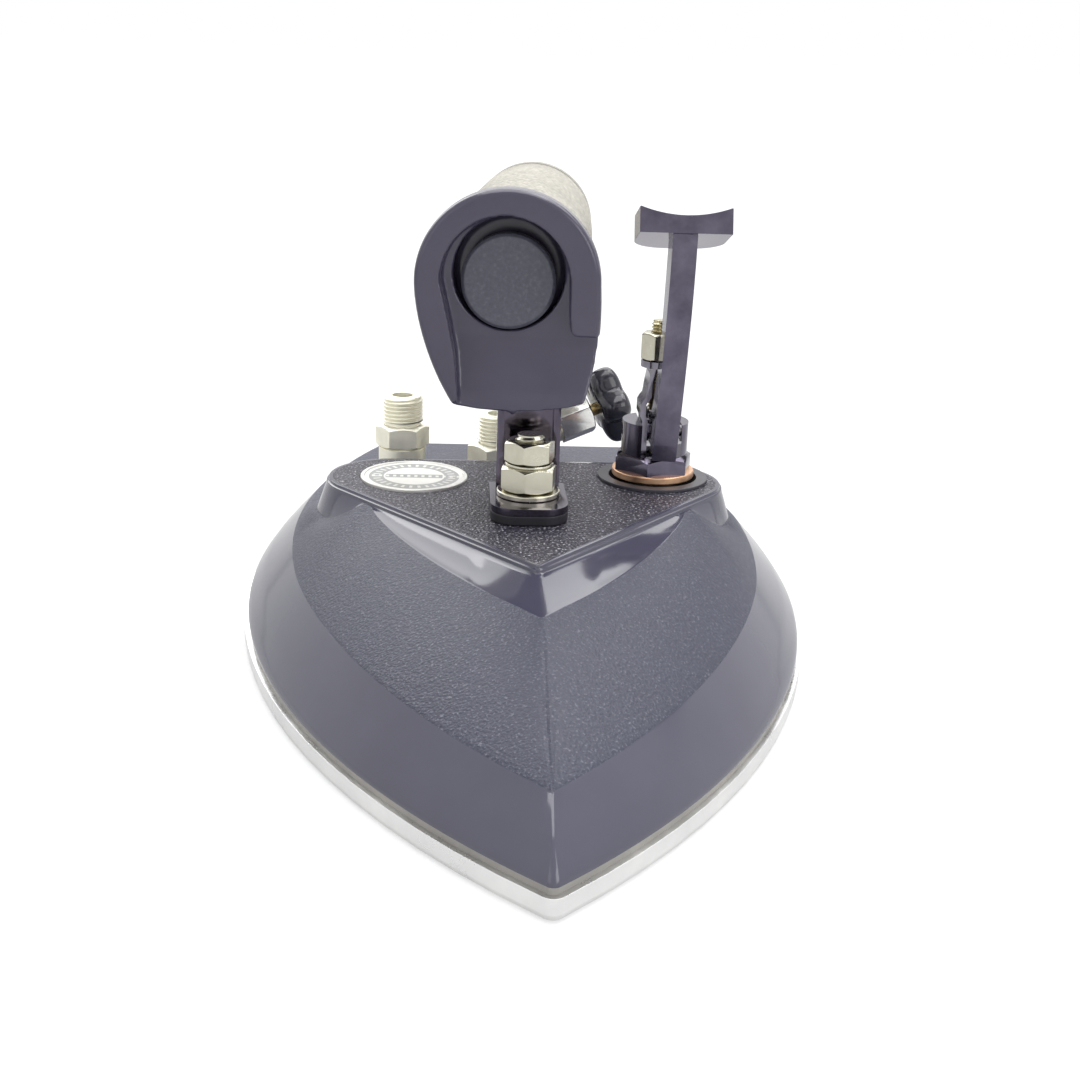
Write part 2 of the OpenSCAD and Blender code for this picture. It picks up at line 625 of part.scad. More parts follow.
// Lever: side view with y and z from its pin; the thumb pushes its top toward the toe
lever_x0 = -1.65;         // left face of the lever at its pin
hub_gap = 0.35;           // between the hub and the right ear
hub_r = 2.4;
function curve(p, t) = let(u = 1 - t)
  p[0]*u*u*u + p[1]*3*u*u*t + p[2]*3*u*t*t + p[3]*t*t*t;
function trace(p, n) = [for (k = [0:n]) curve(p, k/n)];
lever_front = [[-11, -4], [-12.8, 12], [-13.6, 28], [-10.2, lever_h - 0.6]];
lever_back = [[-4.6, lever_h - 2.6], [-7.2, 26], [-8.6, 10], [-3.5, 5.2]];
module lever_arm() {
  polygon(concat([[0, 0], [-hub_r*0.4, -1.8], [-6.5, -1.7], [-9.2, -2.6]], trace(lever_front, 14),
    trace(lever_back, 14), [[-3, 4.1], [0.5, 4.1]]));
}
module lever_cam() {
  translate([cam_y, cam_z]) circle(r = cam_r);
  circle(r = hub_r);
  polygon([[-3, 3], [cam_y, cam_z + cam_r - 0.02], [cam_y, 0], [-3, -1]]);
}
// A sheet of thickness t with the lever's side view, from x along the pin
module lever_sheet(x, t) {
  translate([x, 0, 0]) rotate([90, 0, 90]) linear_extrude(t) children();
}
module steam_lever() {
  hub_x = yoke_x + yoke_t + 0.2;
  color(col_dark_plate) at_valve(pin_z) difference() {
    union() {
      rotate([0, lever_lean, 0]) lever_sheet(lever_x0, lever_t) lever_arm();
      lever_sheet(lever_x0, lever_t) lever_cam();
      translate([hub_x, 0, 0]) rotate([0, 90, 0])
        cylinder(r = hub_r, h = slot_right - hub_gap - hub_x, $fn = 32);
    }
    translate([-10, 0, 0]) rotate([0, 90, 0]) cylinder(r = pin_r + run_gap, h = 30, $fn = 32);
  }
}
pad_corner = 7;
pad_lap = 0.4;            // how far the pad's underside lies below the lever's top
pad_place = [lever_x0 + lever_t/2 + lever_h*sin(lever_lean), lever_front[3][0] - 0.8, lever_h];
pad_land = 0.3;           // flat edge on each side of the hollow
pad_half = pad_w/2 - pad_land;
pad_hollow_r = (pad_half*pad_half + pad_hollow*pad_hollow)/(2*pad_hollow);
module thumb_pad() {
  color(col_dark_plate) at_valve(pin_z) difference() {
    translate(pad_place) rotate([-pad_tilt, 0, 0]) difference() {
      translate([0, 0, -pad_lap]) round_ended(pad_w, pad_len, pad_corner, pad_t);
      translate([0, -5, pad_t - pad_lap - pad_hollow + pad_hollow_r]) rotate([-90, 0, 0])
        cylinder(r = pad_hollow_r, h = pad_len + 10, $fn = 128);
    }
    rotate([0, lever_lean, 0]) lever_sheet(lever_x0 - fit_gap, lever_t + 2*fit_gap) lever_arm();
  }
}

// Handle brackets

foot_corner = 5;
washer_r = 6.3;
flange_w = stud_off - sqrt(pow(washer_r + seat_gap, 2) - pow(strap_w/2 - strap_t, 2));
module foot_shape(len) {
  hull() {
    translate([-foot_w/2, 0]) square([foot_w, len/2]);
    for (s = [-1, 1])
      translate([s*(foot_w/2 - foot_corner), len - foot_corner]) circle(r = foot_corner, $fn = 32);
  }
}
module foot_block(place, len, s) {
  color(col_black) translate([place[0], place[1], place[2]]) difference() {
    scale([1, s, 1]) foot_solid(len, foot_h);
    translate([0, s*stud_off, -1]) cylinder(r = stud_r + seat_gap, h = 10);
  }
}
// A block with a straight end at y = 0 and rounded corners at the other
module round_ended(w, len, r, h) {
  intersection() {
    translate([-w/2, 0, 0]) cube([w, len, h]);
    union() {
      translate([-w/2, 0, 0]) cube([w, len - r, h]);
      for (s = [-1, 1]) translate([s*(w/2 - r), len - r, 0]) cylinder(r = r, h = h);
      translate([-w/2 + r, 0, 0]) cube([w - 2*r, len, h]);
    }
  }
}
module foot_solid(len, h) {
  round_ended(foot_w, len, foot_corner, h);
}
front_origin = [front_x, web_y + strap_t, deck_z];
rear_origin = [rear_x, rear_web_y, rear_deck_z];
module front_foot() {
  foot_block(front_origin, front_foot_len, -1);
}
module rear_foot() {
  foot_block(rear_origin, rear_foot_len, 1);
}
module in_handle() {
  translate([handle_x, web_y, handle_z]) rotate([0, 0, -handle_skew]) children();
}
plate_r = 12;
// A pressed channel: foot, web with two side flanges, and a round plate behind the handle's end
module bracket(origin, len, s, plate_y) {
  top = handle_z - cork_r - 6 - origin[2];
  inset = s < 0 ? strap_t : 0;
  color(col_dark_plate) difference() {
    union() {
      translate(origin) {
        translate([0, 0, foot_h]) scale([1, s, 1]) foot_solid(len, strap_t);
        translate([-strap_w/2, s < 0 ? -strap_t : 0, foot_h]) cube([strap_w, strap_t, top - foot_h]);
        for (x = [-strap_w/2, strap_w/2 - strap_t]) translate([x, 0, 0]) scale([1, s, 1])
          rotate([90, 0, 90]) linear_extrude(strap_t) polygon([[0, foot_h], [flange_w, foot_h],
            [flange_w - 0.8, top], [0, top]]);
      }
      hull() {
        translate(origin) translate([-strap_w/2, s < 0 ? -strap_t : 0, top - 1]) cube([strap_w, strap_t, 1]);
        in_handle() translate([-strap_w*0.62, plate_y, -cork_r + 1]) cube([strap_w*1.24, strap_t, 1]);
      }
      in_handle() along_y(plate_y) cylinder(r = plate_r, h = strap_t);
      in_handle() translate([-strap_w*0.62, plate_y, -cork_r + 1]) cube([strap_w*1.24, strap_t, 8]);
    }
    in_handle() along_y(plate_y - 5) cylinder(r = handle_bolt_r + fit_gap, h = 12);
    translate(origin) translate([0, s*stud_off, 0]) cylinder(r = stud_r + fit_gap, h = 12);
  }
}
module front_bracket() {
  bracket(front_origin, front_foot_len, -1, 0);
}
module rear_bracket() {
  bracket(rear_origin, rear_foot_len, 1, grip_run);
}

washer_t = 1.1;
thin_washer_t = 0.6;
nut_z = plate_z + washer_t;
lock_z = nut_z + nut_h + thin_washer_t;
stud_top = lock_z + lock_nut_h + 1.2;
module stud(p) {
  color(col_nickel) translate([p[0], p[1], sole_t + 0.5]) {
    h = p[2] + stud_top - sole_t - 0.5;
    cylinder(r = stud_r, h = h - 0.6);
    translate([0, 0, h - 0.6]) cylinder(r1 = stud_r, r2 = stud_r - 0.6, h = 0.6);
  }
}
module front_stud() {
  stud(stud_places[0]);
}
module rear_stud() {
  stud(stud_places[1]);
}
spacer_r = 5;
module stud_spacers() {
  color(col_steel) for (p = stud_places) {
    under = p[2] - cover_wall - (p[2] == deck_z ? deck_lip : 0);
    translate([p[0], p[1], lid_top]) tube(spacer_r, stud_r + fit_gap, under - lid_top);
  }
}
module stud_washers() {
  color(col_nickel) for (p = stud_places) translate(p) {
    translate([0, 0, plate_z]) tube(min(washer_r, stud_off - strap_t - 0.3), stud_r + fit_gap, washer_t);
    translate([0, 0, nut_z + nut_h]) tube(nut_af*0.47, stud_r + fit_gap, thin_washer_t);
  }
}
module stud_nuts() {
  color(col_nickel) for (p = stud_places) translate(p) translate([0, 0, nut_z]) difference() {
    rotate([0, 0, 20]) chamfered_hex(nut_af, nut_h, true);
    translate([0, 0, -1]) cylinder(r = stud_r + fit_gap, h = nut_h + 2);
  }
}
module lock_nuts() {
  color(col_nickel) for (p = stud_places) translate(p) translate([0, 0, lock_z]) difference() {
    rotate([0, 0, 15]) chamfered_hex(nut_af*0.88, lock_nut_h, true);
    translate([0, 0, -1]) cylinder(r = stud_r + fit_gap, h = lock_nut_h + 2);
  }
}

// Handle, in its own frame: y along the handle from the front bracket, z up from its axis

guard_right = [[guard_r, 0], [guard_r + 0.6, -8], [guard_r - 0.2, -15], [guard_r - 2.2, -21.3]];
guard_left = [[-9.5, -22.2], [-13, -17], [-guard_r + 0.2, -8], [-guard_r, 0]];
guard_foot = [[guard_r - 2.2, -21.3], [8, -23.4], [-3, -23.6], [-9.5, -22.2]];
function drop_last(l) = [for (i = [0:len(l) - 2]) l[i]];
guard_outline = concat(
  drop_last(trace(guard_right, 8)), drop_last(trace(guard_foot, 8)), drop_last(trace(guard_left, 8)),
  [for (a = [180:-9:9]) [guard_r*cos(a), guard_r*sin(a)]]);
guard_mid = [0.5, -3];
guard_neck = cork_r + 0.3;
// Ring at depth y: the outline shrunk by k and blended toward the round neck by b
function guard_ring(y, k, b) = [for (p = guard_outline)
  let(q = guard_mid + (p - guard_mid)*k, c = p*(guard_neck/norm(p)), m = q*(1 - b) + c*b) [m[0], y, m[1]]];
recess_depth = 5.4;
floor_y = -guard_depth + recess_depth;
arch_r = 11.7;
leg_end = -8.8;
cap_t = 3;
bolt_head_h = 5;
bolt_head_r = 6.5;
module guard_recess() {
  intersection() {
    along_y(-guard_depth - 5) linear_extrude(20) mirror([0, 1]) {
      translate([-0.4, 0.3]) circle(r = arch_r);
      polygon([[-arch_r - 0.4, 0.3], [-10.6, -6], [-9.2, -13], [-8.3, -22], [-8.1, -30], [26, -30],
        [26, leg_end], [arch_r + 0.8, leg_end], [arch_r - 0.1, leg_end + 0.8], [arch_r - 0.4, 0.3]]);
    }
    translate([-30, 0, 0]) rotate([90, 0, 90]) linear_extrude(60) polygon([[-guard_depth - 6, 30],
      [floor_y, 30], [floor_y, -10], [floor_y - 0.3, -13], [floor_y - 1.2, -16.5], [floor_y - 2.6, -19.5],
      [floor_y - 4.4, -22], [floor_y - 5.2, -23.4], [-guard_depth - 6, -27]]);
  }
}
module hand_guard() {
  color(col_black*1.6) in_handle() difference() {
    loft([guard_ring(-guard_depth, 0.95, 0), guard_ring(-guard_depth + 0.5, 0.98, 0),
      guard_ring(-guard_depth + 1.6, 1, 0), guard_ring(-guard_depth + 5, 1, 0),
      guard_ring(-guard_depth + 9, 0.975, 0.1), guard_ring(-10, 0.95, 0.6),
      guard_ring(-5, 0.95, 0.95), guard_ring(0, 1, 1)]);
    guard_recess();
    along_y(floor_y - 4) cylinder(r = cap_r + fit_gap, h = 4 + cap_t - 1, $fn = 64);
    along_y(floor_y - 4) cylinder(r = bolt_head_r + 0.4, h = 4 + cap_t - 1 + bolt_head_h);
    along_y(-guard_depth) cylinder(r = handle_bolt_r + 0.1, h = 2*guard_depth);
  }
}
cap_y = floor_y - 1;
module guard_cap() {
  color([0.33, 0.36, 0.38]) in_handle() along_y(cap_y) {
    cylinder(r1 = cap_r - 0.6, r2 = cap_r, h = 0.5, $fn = 64);
    translate([0, 0, 0.5]) cylinder(r = cap_r, h = cap_t - 0.5, $fn = 64);
  }
}
bolt_head_y = cap_y + cap_t;
nut_seat_y = grip_run + strap_t;
handle_nut_af = 13;
handle_nut_hex = 5.5;
handle_dome_r = 5.6;
module handle_bolt() {
  color(col_steel) in_handle() {
    along_y(bolt_head_y) cylinder(r = bolt_head_r, h = bolt_head_h);
    along_y(bolt_head_y) cylinder(r = handle_bolt_r, h = nut_seat_y + handle_nut_hex - bolt_head_y);
  }
}
module handle_nut() {
  color(col_nickel) in_handle() along_y(nut_seat_y) difference() {
    union() {
      chamfered_hex(handle_nut_af, handle_nut_hex);
      translate([0, 0, handle_nut_hex - 0.1]) intersection() {
        translate([0, 0, -2.4]) sphere(r = handle_dome_r);
        cylinder(r = handle_dome_r, h = handle_dome_r);
      }
    }
    translate([0, 0, -1]) cylinder(r = handle_bolt_r + fit_gap, h = handle_nut_hex + 1.2);
  }
}
module cork_grip() {
  bulge = 0.5;
  bore_r = handle_bolt_r + 0.2;
  end_r = cork_r - 1;
  side = [for (k = [0:12]) let(t = k/12)
    [cork_r + bulge*sin(180*t) - 0.5*pow(abs(2*t - 1), 10), 0.4 + (cork_len - 0.8)*t]];
  color([0.74, 0.68, 0.58]) in_handle() along_y(strap_t) rotate_extrude($fn = 64)
    polygon(concat([[bore_r, 0], [end_r, 0]], side, [[end_r, cork_len], [bore_r, cork_len]]));
}
module grip_ferrule() {
  color(col_black) in_handle() along_y(strap_t + cork_len) tube(cork_r, handle_bolt_r + fit_gap, ferrule_t);
}

// Steam fittings

fitting_root_r = 4.9;
module fitting_thread(z) {
  translate([0, 0, z - 1]) cylinder(r = thread_r - 0.7, h = 2.1);
  translate([0, 0, z + 1]) cylinder(r = thread_r, h = thread_len - 0.6);
  translate([0, 0, z + 0.4 + thread_len]) cylinder(r1 = thread_r, r2 = thread_r - 0.6, h = 0.6);
}
inlet_hex_z = rear_deck_z + 9.9;
inlet_hex_h = 5.3;
inlet_body_r = 5.6;
fitting_foot_z = sole_t + 2.5;
module inlet_nipple() {
  color(col_nickel) translate([inlet_x, inlet_y, 0]) difference() {
    union() {
      translate([0, 0, fitting_foot_z]) cylinder(r = fitting_root_r, h = inlet_hex_z - fitting_foot_z);
      translate([0, 0, lid_top]) cylinder(r = inlet_body_r, h = inlet_hex_z - lid_top);
      translate([0, 0, inlet_hex_z]) rotate([0, 0, 3]) chamfered_hex(inlet_af, inlet_hex_h, true);
      fitting_thread(inlet_hex_z + inlet_hex_h);
    }
    translate([0, 0, fitting_foot_z - 1]) cylinder(r = port_r, h = cut_len, $fn = 32);
  }
}
drain_hex_z = rear_deck_z + 3.6;
drain_hex_h = 8.1;
drain_af = 12.4;
drain_body_r = 6.2;
packing_af = 8.8;
arm_z = drain_hex_z + 6.8;
arm_r = 4.2;
arm_start = 12;           // the arm leaves its elbow this far out, clear of the hose nut
arm_lap = 2.4;            // how far it runs back over the elbow
arm_len = 15.5;
arm_foot = arm_start*cos(arm_rise);
arm_foot_z = arm_z + arm_start*sin(arm_rise);
elbow_z = drain_hex_z + 4;
elbow_r = 3.6;
drain_bore_r = 1.5;
needle_seat_r = 1;
passage_r = 1.4;
passage_lap = 0.8;
needle_tip = arm_start + 0.8;     // how far along the arm the needle's point lies
needle_r = drain_bore_r - run_gap;
module at_drain(z = 0) {
  translate([drain_x, drain_y, z]) children();
}
// Along the drain valve's arm, with z out toward the knob
module on_arm(t = 0) {
  at_drain(arm_z) rotate([0, 90 - arm_rise, arm_turn]) translate([0, 0, t]) children();
}
// Over the elbow that joins the level boss to the arm
module on_elbow(z) {
  at_drain() rotate([0, 0, arm_turn]) translate([arm_foot, 0, z]) children();
}
module drain_valve_body() {
  color(col_nickel) difference() {
    union() {
      at_drain(fitting_foot_z) cylinder(r = fitting_root_r, h = drain_hex_z - fitting_foot_z);
      at_drain(lid_top) cylinder(r = drain_body_r, h = drain_hex_z - lid_top);
      at_drain(drain_hex_z) rotate([0, 0, 8]) chamfered_hex(drain_af, drain_hex_h, true);
      at_drain() fitting_thread(drain_hex_z + drain_hex_h);
      on_elbow(elbow_z) {
        rotate([0, -90, 0]) cylinder(r = elbow_r, h = arm_foot);
        sphere(r = elbow_r);
        cylinder(r = elbow_r, h = arm_foot_z - elbow_z);
      }
      on_arm(arm_start - arm_lap) cylinder(r = arm_r, h = arm_len - arm_start + arm_lap);
    }
    at_drain(fitting_foot_z - 1) cylinder(r = port_r, h = cut_len, $fn = 32);
    on_elbow(elbow_z) {
      rotate([0, -90, 0]) cylinder(r = passage_r - 0.2, h = arm_foot, $fn = 32);
      cylinder(r = passage_r, h = arm_foot_z - elbow_z + passage_lap, $fn = 32);
    }
    on_arm(arm_start) cylinder(r = needle_seat_r, h = 3, $fn = 32);
    on_arm(needle_tip + 0.9) cylinder(r = drain_bore_r, h = cut_len, $fn = 32);
  }
}
packing_nut_len = 8.3;
module drain_packing_nut() {
  color(col_steel) on_arm(arm_len) difference() {
    chamfered_hex(packing_af, packing_nut_len);
    translate([0, 0, -1]) cylinder(r = drain_bore_r, h = packing_nut_len + 2, $fn = 32);
  }
}
knob_t0 = arm_len + packing_nut_len + 1.8;
module drain_needle() {
  point_len = 1.6;
  shank_foot = needle_tip + point_len;
  shank_top = knob_t0 + knob_len - knob_recess - 0.1;
  color(col_brass) {
    on_arm(shank_foot) cylinder(r = needle_r, h = shank_top - shank_foot, $fn = 32);
    on_arm(needle_tip) cylinder(r1 = 0.3, r2 = needle_r, h = point_len, $fn = 32);
  }
}
lobe_r = 3.2;
knob_core = 0.79;         // radius between the lobes, as a share of the knob's
lobe_turn = 48;
knob_recess_r = 2.9;
knob_recess = 1.8;
module drain_knob() {
  color(col_black) on_arm(knob_t0) intersection() {
    linear_extrude(knob_len) {
      circle(r = knob_r*knob_core);
      for (k = [0:knob_lobes - 1]) rotate(360*k/knob_lobes + lobe_turn)
        translate([knob_r - lobe_r, 0]) circle(r = lobe_r, $fn = 32);
    }
    rotate_extrude() polygon([[drain_bore_r, 0], [knob_r - 2.6, 0], [knob_r - 0.9, 0.8], [knob_r + 0.1, 2.4],
      [knob_r + 0.1, knob_len - 2.6], [knob_r - 0.7, knob_len - 1], [knob_r - 2.4, knob_len - 0.2],
      [knob_r - 3.6, knob_len], [knob_recess_r, knob_len], [knob_recess_r, knob_len - knob_recess],
      [drain_bore_r, knob_len - knob_recess]]);
  }
}
module knob_screw() {
  color(col_steel) on_arm(knob_t0 + knob_len - knob_recess) {
    cylinder(r1 = 2.5, r2 = 2, h = 1.5, $fn = 32);
  }
}

sole_plate();
chamber_gasket();
chamber_cover();
chamber_screws();
rim_seal();
body_cover();
badge_plate();
valve_collar();
valve_body();
valve_spring();
valve_stem();
stem_packing();
copper_gasket();
valve_bonnet();
lever_pin();
steam_lever();
thumb_pad();
stem_yoke();
stroke_screw();
stroke_nut();
front_foot();
rear_foot();
front_bracket();
rear_bracket();
front_stud();
rear_stud();
stud_spacers();
stud_washers();
stud_nuts();
lock_nuts();
hand_guard();
guard_cap();
handle_bolt();
handle_nut();
cork_grip();
grip_ferrule();
inlet_nipple();
drain_valve_body();
drain_packing_nut();
drain_needle();
drain_knob();
knob_screw();
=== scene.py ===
# Industrial all-steam iron with a cork grip, a thumb-lever steam valve and a drain valve.
# The pieces follow in the order in which the iron is put together, from the sole up. Metres throughout.
import json
import math
import bmesh
import bpy
from mathutils import Matrix, Vector

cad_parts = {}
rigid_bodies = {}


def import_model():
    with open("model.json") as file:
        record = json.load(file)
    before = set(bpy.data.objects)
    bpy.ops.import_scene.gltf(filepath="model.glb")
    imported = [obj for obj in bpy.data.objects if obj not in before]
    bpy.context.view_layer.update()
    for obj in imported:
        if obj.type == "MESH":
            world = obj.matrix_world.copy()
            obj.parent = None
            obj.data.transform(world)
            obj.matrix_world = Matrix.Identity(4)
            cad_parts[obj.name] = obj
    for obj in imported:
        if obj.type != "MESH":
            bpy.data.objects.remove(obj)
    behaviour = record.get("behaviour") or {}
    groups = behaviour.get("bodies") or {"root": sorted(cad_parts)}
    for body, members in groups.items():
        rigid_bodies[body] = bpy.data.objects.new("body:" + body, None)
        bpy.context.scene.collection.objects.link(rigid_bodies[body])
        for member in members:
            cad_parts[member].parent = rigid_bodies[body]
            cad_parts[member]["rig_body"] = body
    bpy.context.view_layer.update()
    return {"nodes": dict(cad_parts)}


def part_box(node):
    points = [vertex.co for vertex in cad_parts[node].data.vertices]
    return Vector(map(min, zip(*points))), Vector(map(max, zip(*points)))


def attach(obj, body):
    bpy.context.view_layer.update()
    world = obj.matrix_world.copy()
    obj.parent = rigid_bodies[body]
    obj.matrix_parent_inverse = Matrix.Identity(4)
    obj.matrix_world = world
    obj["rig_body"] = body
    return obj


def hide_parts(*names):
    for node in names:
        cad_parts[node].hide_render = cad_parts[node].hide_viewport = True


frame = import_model()
cad = frame["nodes"]
MM = 0.001

# Camera: it stands low in front of the toe, tilted down onto the iron and turned a little to the lever side.
# The place and the angles were solved from the outline of the sole and the handle.
camera_place = Vector((-0.0147918, -0.2864887, 0.1180029))
tilt_down, turn_side, roll = 0.3214433, 0.0606338, -0.0358876
ahead = Vector((math.sin(turn_side)*math.cos(tilt_down), math.cos(turn_side)*math.cos(tilt_down),
                -math.sin(tilt_down)))
level = Vector((math.cos(turn_side), -math.sin(turn_side), 0))
below = ahead.cross(level)
right = math.cos(roll)*level + math.sin(roll)*below
down = -math.sin(roll)*level + math.cos(roll)*below
lens = bpy.data.cameras.new("photo_camera")
lens.sensor_width = 36
lens.lens = 1473.89/1080*36
lens.clip_start = 0.01
camera = bpy.data.objects.new("photo_camera", lens)
camera.matrix_world = (Matrix.Translation(camera_place)
                       @ Matrix((right, -down, -ahead)).transposed().to_4x4())
bpy.context.scene.collection.objects.link(camera)
bpy.context.scene.camera = camera

# Studio: a white sweep that runs out to the horizon, one large soft box overhead and two fills.
# Camera, mirror and clear rays see white paper; everything else gets plain grey light from it.


def link(tree, a, b):
    tree.links.new(a, b)


def add_node(tree, kind, **values):
    made = tree.nodes.new(kind)
    for key, value in values.items():
        if key in made.inputs:
            made.inputs[key].default_value = value
        else:
            setattr(made, key, value)
    return made


def between(tree, value, low, high, soft):
    """1 where the value lies between low and high, with soft edges."""
    up = add_node(tree, "ShaderNodeMapRange")
    down = add_node(tree, "ShaderNodeMapRange")
    both = add_node(tree, "ShaderNodeMath", operation="MULTIPLY")
    for part, ends in ((up, (low - soft, low)), (down, (high + soft, high))):
        part.inputs["From Min"].default_value, part.inputs["From Max"].default_value = ends
        link(tree, value, part.inputs["Value"])
    link(tree, up.outputs["Result"], both.inputs[0])
    link(tree, down.outputs["Result"], both.inputs[1])
    return both.outputs[0]


def reckon(tree, operation, a, b=None):
    made = add_node(tree, "ShaderNodeMath", operation=operation)
    for k, value in enumerate((a, b)):
        if isinstance(value, (int, float)):
            made.inputs[k].default_value = value
        elif value is not None:
            link(tree, value, made.inputs[k])
    return made.outputs[0]


bpy.context.scene.view_settings.view_transform = "Standard"
WHITE = (1, 1, 1, 1)
world = bpy.data.worlds.new("studio")
bpy.context.scene.world = world
world.use_nodes = True
tree = world.node_tree
tree.nodes.clear()
rays = add_node(tree, "ShaderNodeLightPath")
seen = add_node(tree, "ShaderNodeMath", operation="MAXIMUM")
link(tree, rays.outputs["Is Camera Ray"], seen.inputs[0])
link(tree, rays.outputs["Is Transmission Ray"], seen.inputs[1])
paper = add_node(tree, "ShaderNodeBackground", Color=WHITE, Strength=1.0)
room = add_node(tree, "ShaderNodeBackground", Color=WHITE, Strength=0.62)
mirror = add_node(tree, "ShaderNodeBackground", Color=WHITE, Strength=1.0)
way = add_node(tree, "ShaderNodeTexCoord")
split = add_node(tree, "ShaderNodeSeparateXYZ")
link(tree, way.outputs["Generated"], split.inputs[0])
# For mirrors the room is plain white, with a brighter box above the back and a dark stand to its right
aside = reckon(tree, "ABSOLUTE", split.outputs["X"])
above = between(tree, split.outputs["Z"], 0.42, 2, 0.06)
behind = between(tree, split.outputs["Y"], 0.45, 2, 0.1)
high_back = reckon(tree, "MULTIPLY", above, behind)
box = reckon(tree, "MULTIPLY", high_back, between(tree, aside, -1, 0.36, 0.05))
stand = reckon(tree, "MULTIPLY", high_back, between(tree, split.outputs["X"], 0.42, 2, 0.04))
bright_room = reckon(tree, "ADD", 1.0, reckon(tree, "MULTIPLY", box, 1.5))
link(tree, reckon(tree, "SUBTRACT", bright_room, reckon(tree, "MULTIPLY", stand, 0.8)), mirror.inputs["Strength"])
first = add_node(tree, "ShaderNodeMixShader")
link(tree, rays.outputs["Is Glossy Ray"], first.inputs["Fac"])
link(tree, room.outputs[0], first.inputs[1])
link(tree, mirror.outputs[0], first.inputs[2])
last = add_node(tree, "ShaderNodeMixShader")
link(tree, seen.outputs[0], last.inputs["Fac"])
link(tree, first.outputs[0], last.inputs[1])
link(tree, paper.outputs[0], last.inputs[2])
surface = add_node(tree, "ShaderNodeOutputWorld")
link(tree, last.outputs[0], surface.inputs["Surface"])


def soft_box(name, place, aim, wide, high, watts):
    lamp = bpy.data.lights.new(name, "AREA")
    lamp.shape = "RECTANGLE"
    lamp.size = wide
    lamp.size_y = high
    lamp.energy = watts
    holder = bpy.data.objects.new(name, lamp)
    holder.location = place
    holder.rotation_euler = (Vector(aim) - Vector(place)).to_track_quat("-Z", "Y").to_euler()
    bpy.context.scene.collection.objects.link(holder)


soft_box("overhead", (0, 0, 0.75), (0, 0, 0.03), 0.6, 0.6, 3.7)
soft_box("left_fill", (-0.6, -0.6, 0.35), (0, 0, 0.04), 0.5, 0.5, 0.5)
soft_box("right_fill", (0.6, -0.6, 0.4), (0, 0, 0.04), 0.5, 0.5, 2.0)
soft_box("back_left", (-0.5, 0.75, 0.55), (0, 0, 0.03), 0.6, 0.5, 2.0)
soft_box("back_right", (0.45, 0.3, 0.75), (0, 0, 0.03), 0.6, 0.5, 2.8)

sweep_mesh = bpy.data.meshes.new("sweep")
bm = bmesh.new()
bmesh.ops.create_grid(bm, x_segments=1, y_segments=1, size=30)
bm.to_mesh(sweep_mesh)
bm.free()
sweep = bpy.data.objects.new("sweep", sweep_mesh)
bpy.context.scene.collection.objects.link(sweep)
paper_sheet = bpy.data.materials.new("paper_sweep")
paper_sheet.use_nodes = True
tree = paper_sheet.node_tree
base = tree.nodes["Principled BSDF"]
base.inputs["Base Color"].default_value = (0.8, 0.8, 0.8, 1)
base.inputs["Roughness"].default_value = 0.9
rays = add_node(tree, "ShaderNodeLightPath")
bright = add_node(tree, "ShaderNodeMath", operation="MAXIMUM")
link(tree, rays.outputs["Is Camera Ray"], bright.inputs[0])
link(tree, rays.outputs["Is Glossy Ray"], bright.inputs[1])
clear = add_node(tree, "ShaderNodeMath", operation="MAXIMUM")
link(tree, bright.outputs[0], clear.inputs[0])
link(tree, rays.outputs["Is Transmission Ray"], clear.inputs[1])
# In a mirror the paper fades toward the photographer's side of the table
spot = add_node(tree, "ShaderNodeTexCoord")
apart = add_node(tree, "ShaderNodeSeparateXYZ")
link(tree, spot.outputs["Object"], apart.inputs[0])
fade = add_node(tree, "ShaderNodeMapRange", interpolation_type="SMOOTHSTEP")
for key, value in (("From Min", -0.6), ("From Max", 0.1), ("To Min", 0.72), ("To Max", 0.3)):
    fade.inputs[key].default_value = value
link(tree, apart.outputs["Y"], fade.inputs["Value"])
reach_of = add_node(tree, "ShaderNodeVectorMath", operation="LENGTH")
link(tree, spot.outputs["Object"], reach_of.inputs[0])
rise = add_node(tree, "ShaderNodeMapRange", interpolation_type="SMOOTHSTEP")
for key, value in (("From Min", 0.25), ("From Max", 1.5), ("To Min", 0.56), ("To Max", 0.9)):
    rise.inputs[key].default_value = value
link(tree, reach_of.outputs["Value"], rise.inputs["Value"])
level_of = add_node(tree, "ShaderNodeMix")
link(tree, rise.outputs["Result"], level_of.inputs["B"])
link(tree, rays.outputs["Is Camera Ray"], level_of.inputs["Factor"])
link(tree, fade.outputs["Result"], level_of.inputs["A"])
glow = add_node(tree, "ShaderNodeEmission")
link(tree, level_of.outputs["Result"], glow.inputs["Strength"])
seen_sheet = add_node(tree, "ShaderNodeBsdfDiffuse", Color=(0.42, 0.42, 0.42, 1))
both = add_node(tree, "ShaderNodeAddShader")
link(tree, seen_sheet.outputs[0], both.inputs[0])
link(tree, glow.outputs[0], both.inputs[1])
pick = add_node(tree, "ShaderNodeMixShader")
link(tree, clear.outputs[0], pick.inputs["Fac"])
link(tree, base.outputs[0], pick.inputs[1])
link(tree, both.outputs[0], pick.inputs[2])
link(tree, pick.outputs[0], tree.nodes["Material Output"].inputs["Surface"])
sweep_mesh.materials.append(paper_sheet)

# Sole plate: an aluminium casting with its lower face ground flat and its edge polished bright.
# Inside it are the steam chamber's walls, closed by a cast cover, a fibre gasket and plain steel screws.


